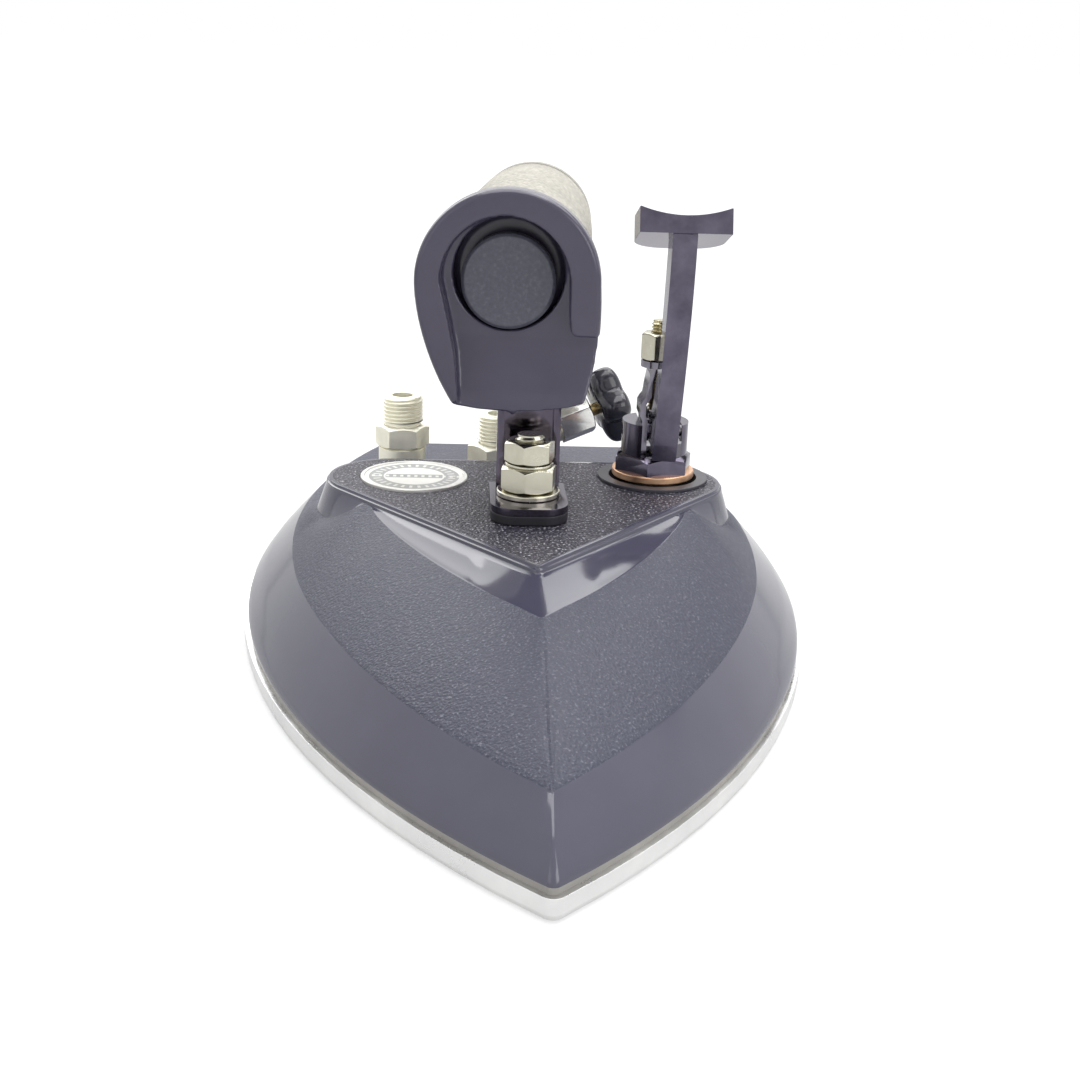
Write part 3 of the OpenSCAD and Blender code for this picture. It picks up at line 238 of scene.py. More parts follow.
def coat(name, light, dark, rough, metal=0.0, patch=0.012, grain=0.0, grain_size=0.0006, speck=0.0, **sockets):
    """A finish whose tone and roughness drift in patches, with fine grain that stands up and small specks."""
    mat = bpy.data.materials.new(name)
    mat.use_nodes = True
    tree = mat.node_tree
    shader = tree.nodes["Principled BSDF"]
    shader.inputs["Metallic"].default_value = metal
    for key, value in sockets.items():
        shader.inputs[key.replace("_", " ")].default_value = value
    where = add_node(tree, "ShaderNodeTexCoord")
    cloud = add_node(tree, "ShaderNodeTexNoise", Scale=1/patch, Detail=5.0, Roughness=0.6)
    link(tree, where.outputs["Object"], cloud.inputs["Vector"])
    tone = add_node(tree, "ShaderNodeMix", data_type="RGBA")
    tone.inputs[6].default_value = (*dark, 1)
    tone.inputs[7].default_value = (*light, 1)
    spread = add_node(tree, "ShaderNodeMapRange")
    for key, value in (("From Min", 0.3), ("From Max", 0.7)):
        spread.inputs[key].default_value = value
    link(tree, cloud.outputs["Fac"], spread.inputs["Value"])
    link(tree, spread.outputs["Result"], tone.inputs["Factor"])
    colour = tone.outputs[2]
    fine = add_node(tree, "ShaderNodeTexNoise", Scale=1/grain_size, Detail=3.0)
    link(tree, where.outputs["Object"], fine.inputs["Vector"])
    if speck:
        spots = add_node(tree, "ShaderNodeMapRange")
        for key, value in (("From Min", 0.62), ("From Max", 0.72)):
            spots.inputs[key].default_value = value
        link(tree, fine.outputs["Fac"], spots.inputs["Value"])
        paler = add_node(tree, "ShaderNodeMix", data_type="RGBA", blend_type="ADD")
        share = add_node(tree, "ShaderNodeMath", operation="MULTIPLY")
        share.inputs[1].default_value = speck
        link(tree, spots.outputs["Result"], share.inputs[0])
        link(tree, share.outputs[0], paler.inputs["Factor"])
        link(tree, colour, paler.inputs[6])
        paler.inputs[7].default_value = (1, 1, 1, 1)
        colour = paler.outputs[2]
    link(tree, colour, shader.inputs["Base Color"])
    worn = add_node(tree, "ShaderNodeMapRange")
    for key, value in (("From Min", 0.25), ("From Max", 0.75), ("To Min", rough[0]), ("To Max", rough[1])):
        worn.inputs[key].default_value = value
    link(tree, cloud.outputs["Fac"], worn.inputs["Value"])
    link(tree, worn.outputs["Result"], shader.inputs["Roughness"])
    if grain:
        raised = add_node(tree, "ShaderNodeBump", Strength=1.0, Distance=grain)
        link(tree, fine.outputs["Fac"], raised.inputs["Height"])
        link(tree, raised.outputs["Normal"], shader.inputs["Normal"])
    return mat


def finished(name, new_name, mat, edge=0.15*MM, segments=2, sharp=32):
    """A copy of a CAD part with its edges broken as a maker leaves them, and with its own finish."""
    bm = bmesh.new()
    bm.from_mesh(cad[name].data)
    bmesh.ops.remove_doubles(bm, verts=bm.verts, dist=0.001*MM)
    bmesh.ops.dissolve_limit(bm, angle_limit=math.radians(0.4), verts=bm.verts, edges=bm.edges)
    mesh = bpy.data.meshes.new(new_name)
    bm.to_mesh(mesh)
    bm.free()
    return place(mesh, new_name, [mat], cad[name]["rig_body"], [name], edge, segments, sharp)


def place(mesh, name, mats, body, nodes, edge=0.0, segments=2, sharp=32):
    """Puts a finished mesh on its body in the stead of the CAD nodes that it dresses."""
    for mat in mats:
        mesh.materials.append(mat)
    mesh.shade_smooth()
    mesh.set_sharp_from_angle(angle=math.radians(sharp))
    piece = bpy.data.objects.new(name, mesh)
    bpy.context.scene.collection.objects.link(piece)
    if edge:
        broken = piece.modifiers.new("broken_edges", "BEVEL")
        broken.width = edge
        broken.segments = segments
        broken.limit_method = "ANGLE"
        broken.angle_limit = math.radians(sharp)
        broken.harden_normals = True
    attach(piece, body)
    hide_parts(*nodes)
    return piece


def painted(mat, *names):
    """Gives CAD parts that need no further shape their finish."""
    for name in names:
        cad[name].data.materials.clear()
        cad[name].data.materials.append(mat)


ground_aluminium = coat("ground_aluminium", (0.83, 0.83, 0.82), (0.72, 0.72, 0.72), (0.22, 0.4), 1.0,
                        grain=0.004*MM, grain_size=0.3*MM)
cast_aluminium = coat("cast_aluminium", (0.62, 0.62, 0.63), (0.5, 0.5, 0.52), (0.45, 0.6), 1.0,
                      grain=0.05*MM, grain_size=0.5*MM)
bright_steel = coat("bright_steel", (0.78, 0.78, 0.76), (0.62, 0.62, 0.61), (0.12, 0.3), 1.0,
                    patch=4*MM, grain=0.004*MM, grain_size=0.2*MM)
fibre = coat("pressed_fibre", (0.5, 0.49, 0.45), (0.4, 0.39, 0.36), (0.8, 0.95), grain=0.05*MM, grain_size=0.3*MM)
grey_rubber = coat("grey_rubber", (0.36, 0.345, 0.32), (0.26, 0.25, 0.235), (0.5, 0.7), grain=0.02*MM,
                   grain_size=0.25*MM)
finished("sole_plate", "ground_sole", ground_aluminium, 0.2*MM)
painted(fibre, "chamber_gasket")
painted(cast_aluminium, "chamber_cover")
painted(bright_steel, "chamber_screws")
painted(grey_rubber, "rim_seal")

# Body cover: one thick phenolic moulding with a sharp toe ridge and a V-shaped deck. The front faces and the
# deck carry a leather grain; the lip, the band along the rim and the hollow under the deck's edge are polished.
rim_z, deck_z, rear_deck_z = 5.3, 30.9, 17.4
body_w, toe_len, heel_len, wide_y = 118, 130, 80, 25
toe_r, heel_r, wall = 1.5, 16, 2.2
side_r = (body_w*body_w/4 + toe_len*toe_len)/body_w
side_cx = side_r - body_w/2
TIP, VEE, BEND, REAR, HEEL, MID = 3, 18, 27, 33, 38, 39      # stations from the toe to the middle of the heel
bend_a, bend_b = -4, 6
corner_x, corner_r, corner_y = 28, 14, wide_y - 8.5
deck_tip_r, deck_tip_y = 1.2, wide_y - 63.9
deck_rear_y = corner_y + corner_r
crease_h, crease_in, lip_h, lip_in = 5, 3, 0.9, 0.6
band_in, band_h, band_in_side = 7.9, 9.9, 1.6
scoop_end, scoop_share, scoop_drop, scoop_dip = 0.8, 0.3, 0.55, 0.5
facet_share, facet_drop, deck_lip, rear_wall_run = 0.32, 0.5, 0.7, 3.4
step_drop = 1.3


def on_arc(cx, cy, r, degrees):
    return Vector((cx + r*math.cos(math.radians(degrees)), cy + r*math.sin(math.radians(degrees))))


def ramp(i, i0, i1):
    return min(max((i - i0)/(i1 - i0), 0), 1)


def smooth(t):
    return t*t*(3 - 2*t)


def rim_at(i, d):
    """Station i of the plan outline, moved in by d."""
    tr, hr = max(toe_r - d, 0.3), max(heel_r - d, 1)
    reach = math.sqrt((side_r - d - tr)**2 - side_cx**2)
    ta = math.degrees(math.atan2(-reach, side_cx))
    ha = math.degrees(math.asin((heel_len - d - hr)/(side_r - d - hr)))
    if i <= TIP:
        return on_arc(0, wide_y - reach, tr, -90 + (ta + 90)*i/TIP)
    if i <= REAR:
        a, b, i0, i1 = next(span for span in ((ta, bend_a, TIP, VEE), (bend_a, bend_b, VEE, BEND),
                                              (bend_b, ha, BEND, REAR)) if i <= span[3])
        return on_arc(-side_cx, wide_y, side_r - d, a + (b - a)*(i - i0)/(i1 - i0))
    hx = -side_cx + (side_r - d - hr)*math.cos(math.radians(ha))
    hy = wide_y + heel_len - d - hr
    if i <= HEEL:
        return on_arc(hx, hy, hr, ha + (90 - ha)*(i - REAR)/(HEEL - REAR))
    return Vector((hx*(MID - i)/(MID - HEEL), hy + hr))


vee_len = math.hypot(corner_x, corner_y - deck_tip_y)
vee_ang = math.degrees(math.atan2(corner_y - deck_tip_y, corner_x))
vee_normal = vee_ang - math.degrees(math.acos((deck_tip_r - corner_r)/vee_len))


def deck_at(i, d):
    """Station i of the deck's edge, moved in by d."""
    tr, cr = max(deck_tip_r - d, 0.2), corner_r - d
    back = max(d - deck_tip_r + 0.2, 0)/math.cos(math.radians(90 + vee_normal))
    if i <= 1:
        return on_arc(0, deck_tip_y + back, tr, -90 + (vee_normal + 90)*i)
    a = on_arc(0, deck_tip_y + back, tr, vee_normal)
    b = on_arc(corner_x, corner_y, cr, vee_normal)
    if i <= VEE:
        return a + (b - a)*(i - 1)/(VEE - 1)
    if i <= BEND:
        return on_arc(corner_x, corner_y, cr, vee_normal + (90 - vee_normal)*(i - VEE)/(BEND - VEE))
    return Vector((corner_x*(MID - i)/(MID - BEND), deck_rear_y - d))


def side_share(i):
    return smooth(ramp(i, 0, VEE*0.75))


def band_at(i, d):
    return rim_at(i, band_in + band_in_side*side_share(i) + d)


def band_height(i):
    return rim_z + band_h + (rear_deck_z - rim_z - band_h)*side_share(i)


def is_rear(i):
    return smooth(ramp(i, VEE + (BEND - VEE)*0.45, BEND))


def brow_share(i, front, side):
    v = ramp(i, 1, VEE)
    if v < scoop_end:
        return scoop_share*math.sqrt(1 - (v/scoop_end)**2)*front
    return side*smooth(ramp(v, scoop_end, 1))


def brow_at(i):
    g, e = deck_at(i, 0), band_at(i, 0)
    front = g + (e - g)*max(brow_share(i, 1, facet_share), 0.05)
    rear = is_rear(i)
    z = deck_z - deck_lip - (deck_z - band_height(i))*max(brow_share(i, scoop_drop, facet_drop), 0.03)
    x, y = front*(1 - rear) + Vector((g[0]*1.04, deck_rear_y + rear_wall_run))*rear
    return Vector((x, y, z*(1 - rear) + rear_deck_z*rear))


def step_at(i):
    return Vector((*deck_at(i, -0.25), deck_z - step_drop))


def hollow_at(i):
    v = ramp(i, 1, VEE)
    dip = scoop_dip*(1 - (v/scoop_end)**2) if v < scoop_end else 0
    return (step_at(i) + brow_at(i))/2 - Vector((0, 0, dip))


def face_at(i):
    bulge = 0.8*(1 - is_rear(i))*ramp(i, 0, 4)
    return (brow_at(i) + Vector((*band_at(i, 0), band_height(i))))/2 + Vector((0, 0, bulge))


def bow(a, mid, b, t):
    """A point of the curve from a to b that passes through mid."""
    control = mid*2 - (a + b)/2
    return a*(1 - t)**2 + control*2*t*(1 - t) + b*t*t


def corner(a, p, b, r, count):
    """Points that carry the line from a to b round its corner at p, rounded by r."""
    r = min(r, 0.35*(a - p).length, 0.35*(b - p).length)
    p0, p1 = p + (a - p).normalized()*r, p + (b - p).normalized()*r
    return [p0*(1 - t)**2 + p*2*t*(1 - t) + p1*t*t for t in (k/(count - 1) for k in range(count))]


POLISHED, GRAINED, PEBBLED = 0, 1, 2


def profile(i):
    """The cover's section at station i, from the rim up to the deck, with the finish above each point."""
    k0 = Vector((*rim_at(i, 0), rim_z))
    k1 = Vector((*rim_at(i, 0), rim_z + lip_h))
    k3 = Vector((*rim_at(i, crease_in), rim_z + crease_h))
    k4 = Vector((*band_at(i, 0), band_height(i)))
    k5, k6, k7, k8 = face_at(i), brow_at(i), hollow_at(i), step_at(i)
    k9, k10 = Vector((*deck_at(i, -0.18), deck_z - 0.68)), Vector((*deck_at(i, 0.22), deck_z - 0.6))
    k11, k12 = Vector((*deck_at(i, 0.3), deck_z)), Vector((*deck_at(i, 1.1), deck_z))
    low, out = k1 - Vector((0, 0, lip_h*0.85)), k1 + (k3 - k1)*0.4
    rows = [(k0, POLISHED)]
    rows += [(low*(1 - t)**2 + k1*2*t*(1 - t) + out*t*t, POLISHED) for t in (0, 0.17, 0.33, 0.5, 0.67, 0.83, 1)]
    rows += [(p, POLISHED) for p in corner(k1, k3, k4, 1.4, 5)]
    edge = corner(k3, k4, bow(k4, k5, k6, 0.12), 0.9, 5)
    rows += [(edge[0], POLISHED)] + [(p, GRAINED) for p in edge[1:]]
    rows += [(bow(k4, k5, k6, t), GRAINED) for t in (0.12, 0.22, 0.33, 0.44, 0.55, 0.66, 0.77, 0.88)]
    brow = corner(bow(k4, k5, k6, 0.88), k6, bow(k6, k7, k8, 0.12), 0.9, 5)
    rows += [(p, GRAINED) for p in brow[:2]] + [(p, POLISHED) for p in brow[2:]]
    rows += [(bow(k6, k7, k8, t), POLISHED) for t in (0.12, 0.25, 0.38, 0.5, 0.62, 0.75, 0.88)]
    rows += [(p, POLISHED) for p in corner(k7, k8, k9, 0.2, 3) + corner(k8, k9, k10, 0.14, 3)
             + corner(k9, k10, k11, 0.12, 3) + corner(k10, k11, k12, 0.2, 4)]
    rows += [(k12, PEBBLED)]
    return rows


def draw_in(p, d, drop):
    middle = Vector((0, 8))
    flat = Vector((p[0], p[1])) - middle
    return Vector((*(middle + flat*(1 - d/flat.length)), p[2] - drop))


def inside(i):
    """The cover's inner wall at station i, from the ceiling down to the rim."""
    return [draw_in((*deck_at(i, 0), deck_z - deck_lip), wall*1.4, wall), draw_in(hollow_at(i), wall, wall),
            draw_in(brow_at(i), wall, wall), draw_in(face_at(i), wall, wall),
            Vector((*band_at(i, wall), band_height(i) - wall)),
            Vector((*rim_at(i, crease_in + wall), rim_z + crease_h - wall*0.4)),
            Vector((*rim_at(i, wall), rim_z))]


def spaced(i0, i1, count):
    return [i0 + (i1 - i0)*k/count for k in range(count)]


def next_ring(bm, ring, places):
    """Draws a closed ring of vertices out to new places and returns the new ring and its wall."""
    loop = [bm.edges.get((ring[k - 1], ring[k])) for k in range(len(ring))]
    made = bmesh.ops.extrude_edge_only(bm, edges=loop)["geom"]
    old = set(ring)
    above = {}
    for vert in (v for v in made if isinstance(v, bmesh.types.BMVert)):
        below_it = next(e.other_vert(vert) for e in vert.link_edges if e.other_vert(vert) in old)
        above[below_it] = vert
    new = [above[v] for v in ring]
    for vert, spot in zip(new, places):
        vert.co = spot*MM
    return new, [f for f in made if isinstance(f, bmesh.types.BMFace)]


def first_ring(bm, places):
    ring = [bm.verts.new(spot*MM) for spot in places]
    for k in range(len(ring)):
        bm.edges.new((ring[k - 1], ring[k]))
    return ring


stations = (spaced(0, 1, 4) + spaced(1, TIP, 4) + spaced(TIP, VEE, 45) + spaced(VEE, BEND, 30)
            + spaced(BEND, REAR, 12) + spaced(REAR, HEEL, 12) + spaced(HEEL, MID, 8) + [MID])


def mirrored(half):
    return half + [Vector((-p[0], p[1], p[2])) for p in half[-2:0:-1]]


sections = [profile(i) for i in stations]
walls = [inside(i) for i in stations]
bm = bmesh.new()
ring = first_ring(bm, mirrored([w[0] for w in walls]))
bmesh.ops.contextual_create(bm, geom=ring)
for row in range(1, len(walls[0])):
    ring, _ = next_ring(bm, ring, mirrored([w[row] for w in walls]))
finish_of = POLISHED
scoop_rows = range(len(sections[0]) - 21, len(sections[0]) - 14)
scoop_nose = []
for row in range(len(sections[0])):
    ring, skin = next_ring(bm, ring, mirrored([s[row][0] for s in sections]))
    for face in skin:
        face.material_index = finish_of
    finish_of = sections[0][row][1]
    if row in scoop_rows:
        scoop_nose += [v for v in ring if abs(v.co.x) < 11*MM and v.co.y < -20*MM]
# The scoop runs round the V's tip without a crease
for _ in range(45):
    bmesh.ops.smooth_vert(bm, verts=scoop_nose, factor=0.5, use_axis_x=True, use_axis_y=True, use_axis_z=True)
top = bmesh.ops.contextual_create(bm, geom=ring)["faces"]
for face in top:
    face.material_index = PEBBLED
bmesh.ops.recalc_face_normals(bm, faces=bm.faces)
cover_mesh = bpy.data.meshes.new("moulded_cover")
bm.to_mesh(cover_mesh)
bm.free()

valve_at, badge_at = (27.5, 18.5), (-23.7, 15.4)
inlet_at, drain_at, drain_top = (-27.7, 55), (-5.1, 53), 36.1


def box_middle(name):
    low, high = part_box(name)
    return (low + high)/2/MM


def cutter(holes):
    """Round cutting tools, each given by its middle, radius, foot and height."""
    bm = bmesh.new()
    for x, y, r, foot, height in holes:
        bmesh.ops.create_cone(bm, cap_ends=True, segments=96, radius1=r*MM, radius2=r*MM, depth=height*MM,
                              matrix=Matrix.Translation(Vector((x, y, foot + height/2))*MM))
    mesh = bpy.data.meshes.new("cutter")
    bm.to_mesh(mesh)
    bm.free()
    tool = bpy.data.objects.new("cutter", mesh)
    bpy.context.scene.collection.objects.link(tool)
    return tool


def carved(mesh, tool, operation="DIFFERENCE"):
    """The mesh after the tool has worked on it; the tool is used up."""
    blank = bpy.data.objects.new("blank", mesh)
    bpy.context.scene.collection.objects.link(blank)
    work = blank.modifiers.new("work", "BOOLEAN")
    work.operation = operation
    work.solver = "EXACT"
    work.object = tool
    result = bpy.data.meshes.new_from_object(blank.evaluated_get(bpy.context.evaluated_depsgraph_get()))
    for used in (blank, tool):
        bpy.data.objects.remove(used)
    return result


front_stud, rear_stud = box_middle("front_stud"), box_middle("rear_stud")
holes = [(*valve_at, 10.95, deck_z - 12, 14), (*badge_at, 11.55, deck_z - 0.5, 2),
         (front_stud[0], front_stud[1], 3.3, deck_z - 8, 10), (rear_stud[0], rear_stud[1], 3.3, rear_deck_z - 8, 10),
         (*inlet_at, 7.4, rear_deck_z - 8, 10), (*drain_at, 7.4, rear_deck_z - 8, 10)]
def moulded(name, light, dark, rough, grain, grain_size, relief_shade_depth, painted_glint_level, **sockets):
    """Phenolic moulding with a pebbled leather grain: small raised cells with painted shade, darker in the creases
    between them and paler on their raised parts, and painted highlights on the highest of them.
    """
    mat = coat(name, light, dark, rough, patch=0.03, **sockets)
    tree = mat.node_tree
    shader = tree.nodes["Principled BSDF"]
    base = shader.inputs["Base Color"].links[0].from_socket
    where = add_node(tree, "ShaderNodeTexCoord")
    wavy = add_node(tree, "ShaderNodeTexNoise", Scale=0.5/grain_size, Detail=2.0)
    link(tree, where.outputs["Object"], wavy.inputs["Vector"])
    stir = add_node(tree, "ShaderNodeMix", data_type="RGBA", blend_type="LINEAR_LIGHT")
    stir.inputs["Factor"].default_value = grain_size*0.8
    link(tree, where.outputs["Object"], stir.inputs[6])
    link(tree, wavy.outputs["Color"], stir.inputs[7])
    cells = add_node(tree, "ShaderNodeTexVoronoi", Scale=1/grain_size, feature="F1")
    link(tree, stir.outputs[2], cells.inputs["Vector"])
    pores = add_node(tree, "ShaderNodeTexNoise", Scale=1.3/grain_size, Detail=2.0)
    link(tree, where.outputs["Object"], pores.inputs["Vector"])
    # Painted shade of the grain: the creases between the pebbles are darkened and their raised parts made paler, and
    # a painted highlight is added on the highest of them
    painted_relief_shade = add_node(tree, "ShaderNodeMapRange")
    for key, value in (("From Min", 0.36), ("From Max", 0.66), ("To Min", 1 - relief_shade_depth), ("To Max", 1 + relief_shade_depth)):
        painted_relief_shade.inputs[key].default_value = value
    link(tree, pores.outputs["Fac"], painted_relief_shade.inputs["Value"])
    relief_shaded_colour = add_node(tree, "ShaderNodeVectorMath", operation="SCALE")
    link(tree, base, relief_shaded_colour.inputs[0])
    link(tree, painted_relief_shade.outputs["Result"], relief_shaded_colour.inputs["Scale"])
    # Painted highlights: white is added to the colour on the highest cells
    painted_glints = add_node(tree, "ShaderNodeMapRange")
    for key, value in (("From Min", 0.6), ("From Max", 0.7), ("To Min", 0.0), ("To Max", painted_glint_level)):
        painted_glints.inputs[key].default_value = value
    link(tree, pores.outputs["Fac"], painted_glints.inputs["Value"])
    colour_with_painted_glints = add_node(tree, "ShaderNodeVectorMath", operation="ADD")
    link(tree, relief_shaded_colour.outputs[0], colour_with_painted_glints.inputs[0])
    link(tree, painted_glints.outputs["Result"], colour_with_painted_glints.inputs[1])
    link(tree, colour_with_painted_glints.outputs[0], shader.inputs["Base Color"])
    height = add_node(tree, "ShaderNodeMath", operation="SUBTRACT")
    link(tree, pores.outputs["Fac"], height.inputs[0])
    link(tree, cells.outputs["Distance"], height.inputs[1])
    raised = add_node(tree, "ShaderNodeBump", Strength=1.0, Distance=grain)
    link(tree, height.outputs[0], raised.inputs["Height"])
    link(tree, raised.outputs["Normal"], shader.inputs["Normal"])
    return mat


cover_polish = coat("cover_polish", (0.07, 0.069, 0.103), (0.058, 0.057, 0.087), (0.07, 0.14), patch=0.03,
                    grain=0.004*MM, grain_size=1.4*MM, IOR=1.6)
# The grained face and the deck carry painted shade in the grain's creases and painted highlights on its cells, the
# deck most strongly
cover_grain_painted_light = moulded("cover_grain_painted_light", (0.05, 0.053, 0.081), (0.04, 0.042, 0.066), (0.38, 0.5), 0.08*MM, 0.6*MM,
                      0.16, 0.07, Specular_IOR_Level=0.35)
deck_grain_painted_light = moulded("deck_grain_painted_light", (0.048, 0.045, 0.064), (0.037, 0.034, 0.05), (0.34, 0.46), 0.16*MM, 0.66*MM,
                     0.8, 0.5, Specular_IOR_Level=0.24)
for finish in (cover_polish, cover_grain_painted_light, deck_grain_painted_light):
    cover_mesh.materials.append(finish)
cover = place(carved(cover_mesh, cutter(holes)), "moulded_cover", [], "iron", ["body_cover"], sharp=26)

# Badge: a thin printed plate of satin aluminium let into the deck, with a bright raised edge.
# It carries no words, only a plain grey ring, a bar and short ticks.


def turned(name, outline, mats, body, nodes, axis_at=(0, 0), steps=64, sharp=32, edge=0.0):
    """A part turned from an outline of radius and height round an upright axis."""
    bm = bmesh.new()
    verts = [bm.verts.new(Vector((axis_at[0] + r, axis_at[1], z))*MM) for r, z in outline]
    lines = [bm.edges.new((verts[k - 1], verts[k])) for k in range(1, len(verts))]
    bmesh.ops.spin(bm, geom=verts + lines, cent=Vector((*axis_at, 0))*MM, axis=(0, 0, 1), angle=math.tau,
                   steps=steps, use_merge=True)
    bmesh.ops.remove_doubles(bm, verts=bm.verts, dist=0.002*MM)
    bmesh.ops.recalc_face_normals(bm, faces=bm.faces)
    mesh = bpy.data.meshes.new(name)
    bm.to_mesh(mesh)
    bm.free()
    return place(mesh, name, mats, body, nodes, edge, sharp=sharp)


badge_low, badge_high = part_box("badge_plate")
badge_r = (badge_high[0] - badge_low[0])/2/MM
satin_plate = coat("satin_plate", (0.86, 0.85, 0.81), (0.76, 0.75, 0.71), (0.3, 0.45), 0.3, grain=0.006*MM,
                   grain_size=0.2*MM)
tree = satin_plate.node_tree
shader = tree.nodes["Principled BSDF"]
plate_colour = shader.inputs["Base Color"].links[0].from_socket
where = add_node(tree, "ShaderNodeTexCoord")
square = add_node(tree, "ShaderNodeMapping")
square.inputs["Location"].default_value = (-badge_at[0], -badge_at[1], 0)
square.inputs["Scale"].default_value = (1/MM, 1/MM, 1/MM)
link(tree, where.outputs["Object"], square.inputs["Vector"])
axes = add_node(tree, "ShaderNodeSeparateXYZ")
link(tree, square.outputs[0], axes.inputs[0])
# The mapping scales before it moves, so its shift is in millimetres
across, along = axes.outputs["X"], axes.outputs["Y"]
far = reckon(tree, "SQRT", reckon(tree, "ADD", reckon(tree, "MULTIPLY", across, across),
                                  reckon(tree, "MULTIPLY", along, along)))
around = reckon(tree, "SINE", reckon(tree, "MULTIPLY", reckon(tree, "ARCTAN2", along, across), 30.0))
ring_ink = between(tree, far, 6.5, 9.5, 0.12)
ring_ticks = reckon(tree, "MULTIPLY", between(tree, around, 0.5, 2.0, 0.3), between(tree, far, 7.3, 8.7, 0.15))
bar_ink = reckon(tree, "MULTIPLY", between(tree, along, -1.25, 1.25, 0.12), between(tree, far, -1.0, 6.0, 0.12))
bar_wave = reckon(tree, "SINE", reckon(tree, "MULTIPLY", across, 4.2))
bar_ticks = reckon(tree, "MULTIPLY", between(tree, bar_wave, 0.3, 2.0, 0.3), between(tree, along, -0.6, 0.6, 0.12))
ink = reckon(tree, "MAXIMUM", ring_ink, bar_ink)
bare = reckon(tree, "MAXIMUM", reckon(tree, "MULTIPLY", ring_ticks, 0.75), reckon(tree, "MULTIPLY", bar_ticks, 0.8))
inked = reckon(tree, "MULTIPLY", ink, reckon(tree, "SUBTRACT", 1.0, bare))
print_on = add_node(tree, "ShaderNodeMix", data_type="RGBA")
link(tree, inked, print_on.inputs["Factor"])
link(tree, plate_colour, print_on.inputs[6])
print_on.inputs[7].default_value = (0.34, 0.345, 0.34, 1)
link(tree, print_on.outputs[2], shader.inputs["Base Color"])
badge_top, badge_foot = badge_high[2]/MM, badge_low[2]/MM
disc = turned("badge_disc", [(0, badge_foot), (badge_r - 0.1, badge_foot), (badge_r, badge_foot + 0.1),
                             (badge_r, badge_top - 0.12), (badge_r - 0.12, badge_top), (badge_r - 0.75, badge_top),
                             (badge_r - 0.95, badge_top - 0.22), (badge_r - 1.1, badge_top - 0.25),
                             (0, badge_top - 0.25)],
              [satin_plate], "iron", ["badge_plate"], badge_at, 96, 25)

# Steam valve: a black collar round the hole, a turned brass body with a copper ring, the dark plated bonnet
# with two ears, a plate lever with its dished thumb pad, and the yoke with its brass screw that lifts the stem.
satin_black = coat("satin_black", (0.06, 0.058, 0.07), (0.045, 0.043, 0.053), (0.35, 0.5), grain=0.02*MM,
                   grain_size=0.4*MM)
pale_nickel = coat("pale_nickel", (0.62, 0.6, 0.5), (0.5, 0.48, 0.39), (0.16, 0.3), 1.0, patch=3*MM,
                   grain=0.008*MM, grain_size=0.35*MM)
dark_plate = coat("dark_plating", (0.15, 0.136, 0.18), (0.09, 0.08, 0.112), (0.08, 0.2), 1.0, patch=5*MM,
                  grain=0.004*MM, grain_size=0.6*MM)
soft_copper = coat("soft_copper", (0.78, 0.5, 0.32), (0.6, 0.36, 0.22), (0.25, 0.45), 1.0, patch=2.5*MM,
                   grain=0.006*MM)
turned_brass = coat("turned_brass", (0.68, 0.52, 0.24), (0.5, 0.37, 0.16), (0.2, 0.35), 1.0, patch=2.5*MM,
                    grain=0.006*MM)
waxed_packing = coat("waxed_packing", (0.8, 0.8, 0.76), (0.7, 0.69, 0.62), (0.6, 0.8), grain=0.03*MM)
dull_steel = coat("dull_steel", (0.26, 0.25, 0.29), (0.15, 0.14, 0.175), (0.1, 0.24), 1.0, patch=4*MM,
                  grain=0.004*MM, grain_size=0.3*MM)
for name, new_name, mat, slot, edge in (
        ("valve_collar", "collar_ring", satin_black, "collar", 0.15*MM),
        ("valve_body", "turned_valve_body", pale_nickel, "nickel", 0.15*MM),
        ("copper_gasket", "copper_ring", soft_copper, "copper", 0.3*MM),
        ("valve_bonnet", "plated_bonnet", dark_plate, "dark_plate", 0.2*MM),
        ("lever_pin", "hinge_pin", bright_steel, "steel", 0.2*MM),
        ("steam_lever", "plated_lever", dark_plate, "dark_plate", 0.35*MM),
        ("thumb_pad", "dished_pad", dark_plate, "dark_plate", 0.3*MM),
        ("stem_yoke", "pressed_yoke", dull_steel, "steel", 0.12*MM),
        ("stroke_nut", "small_nut", pale_nickel, "nickel", 0.15*MM),
        ("valve_stem", "turned_stem", turned_brass, "brass", 0.1*MM)):
    finished(name, new_name, mat, edge)


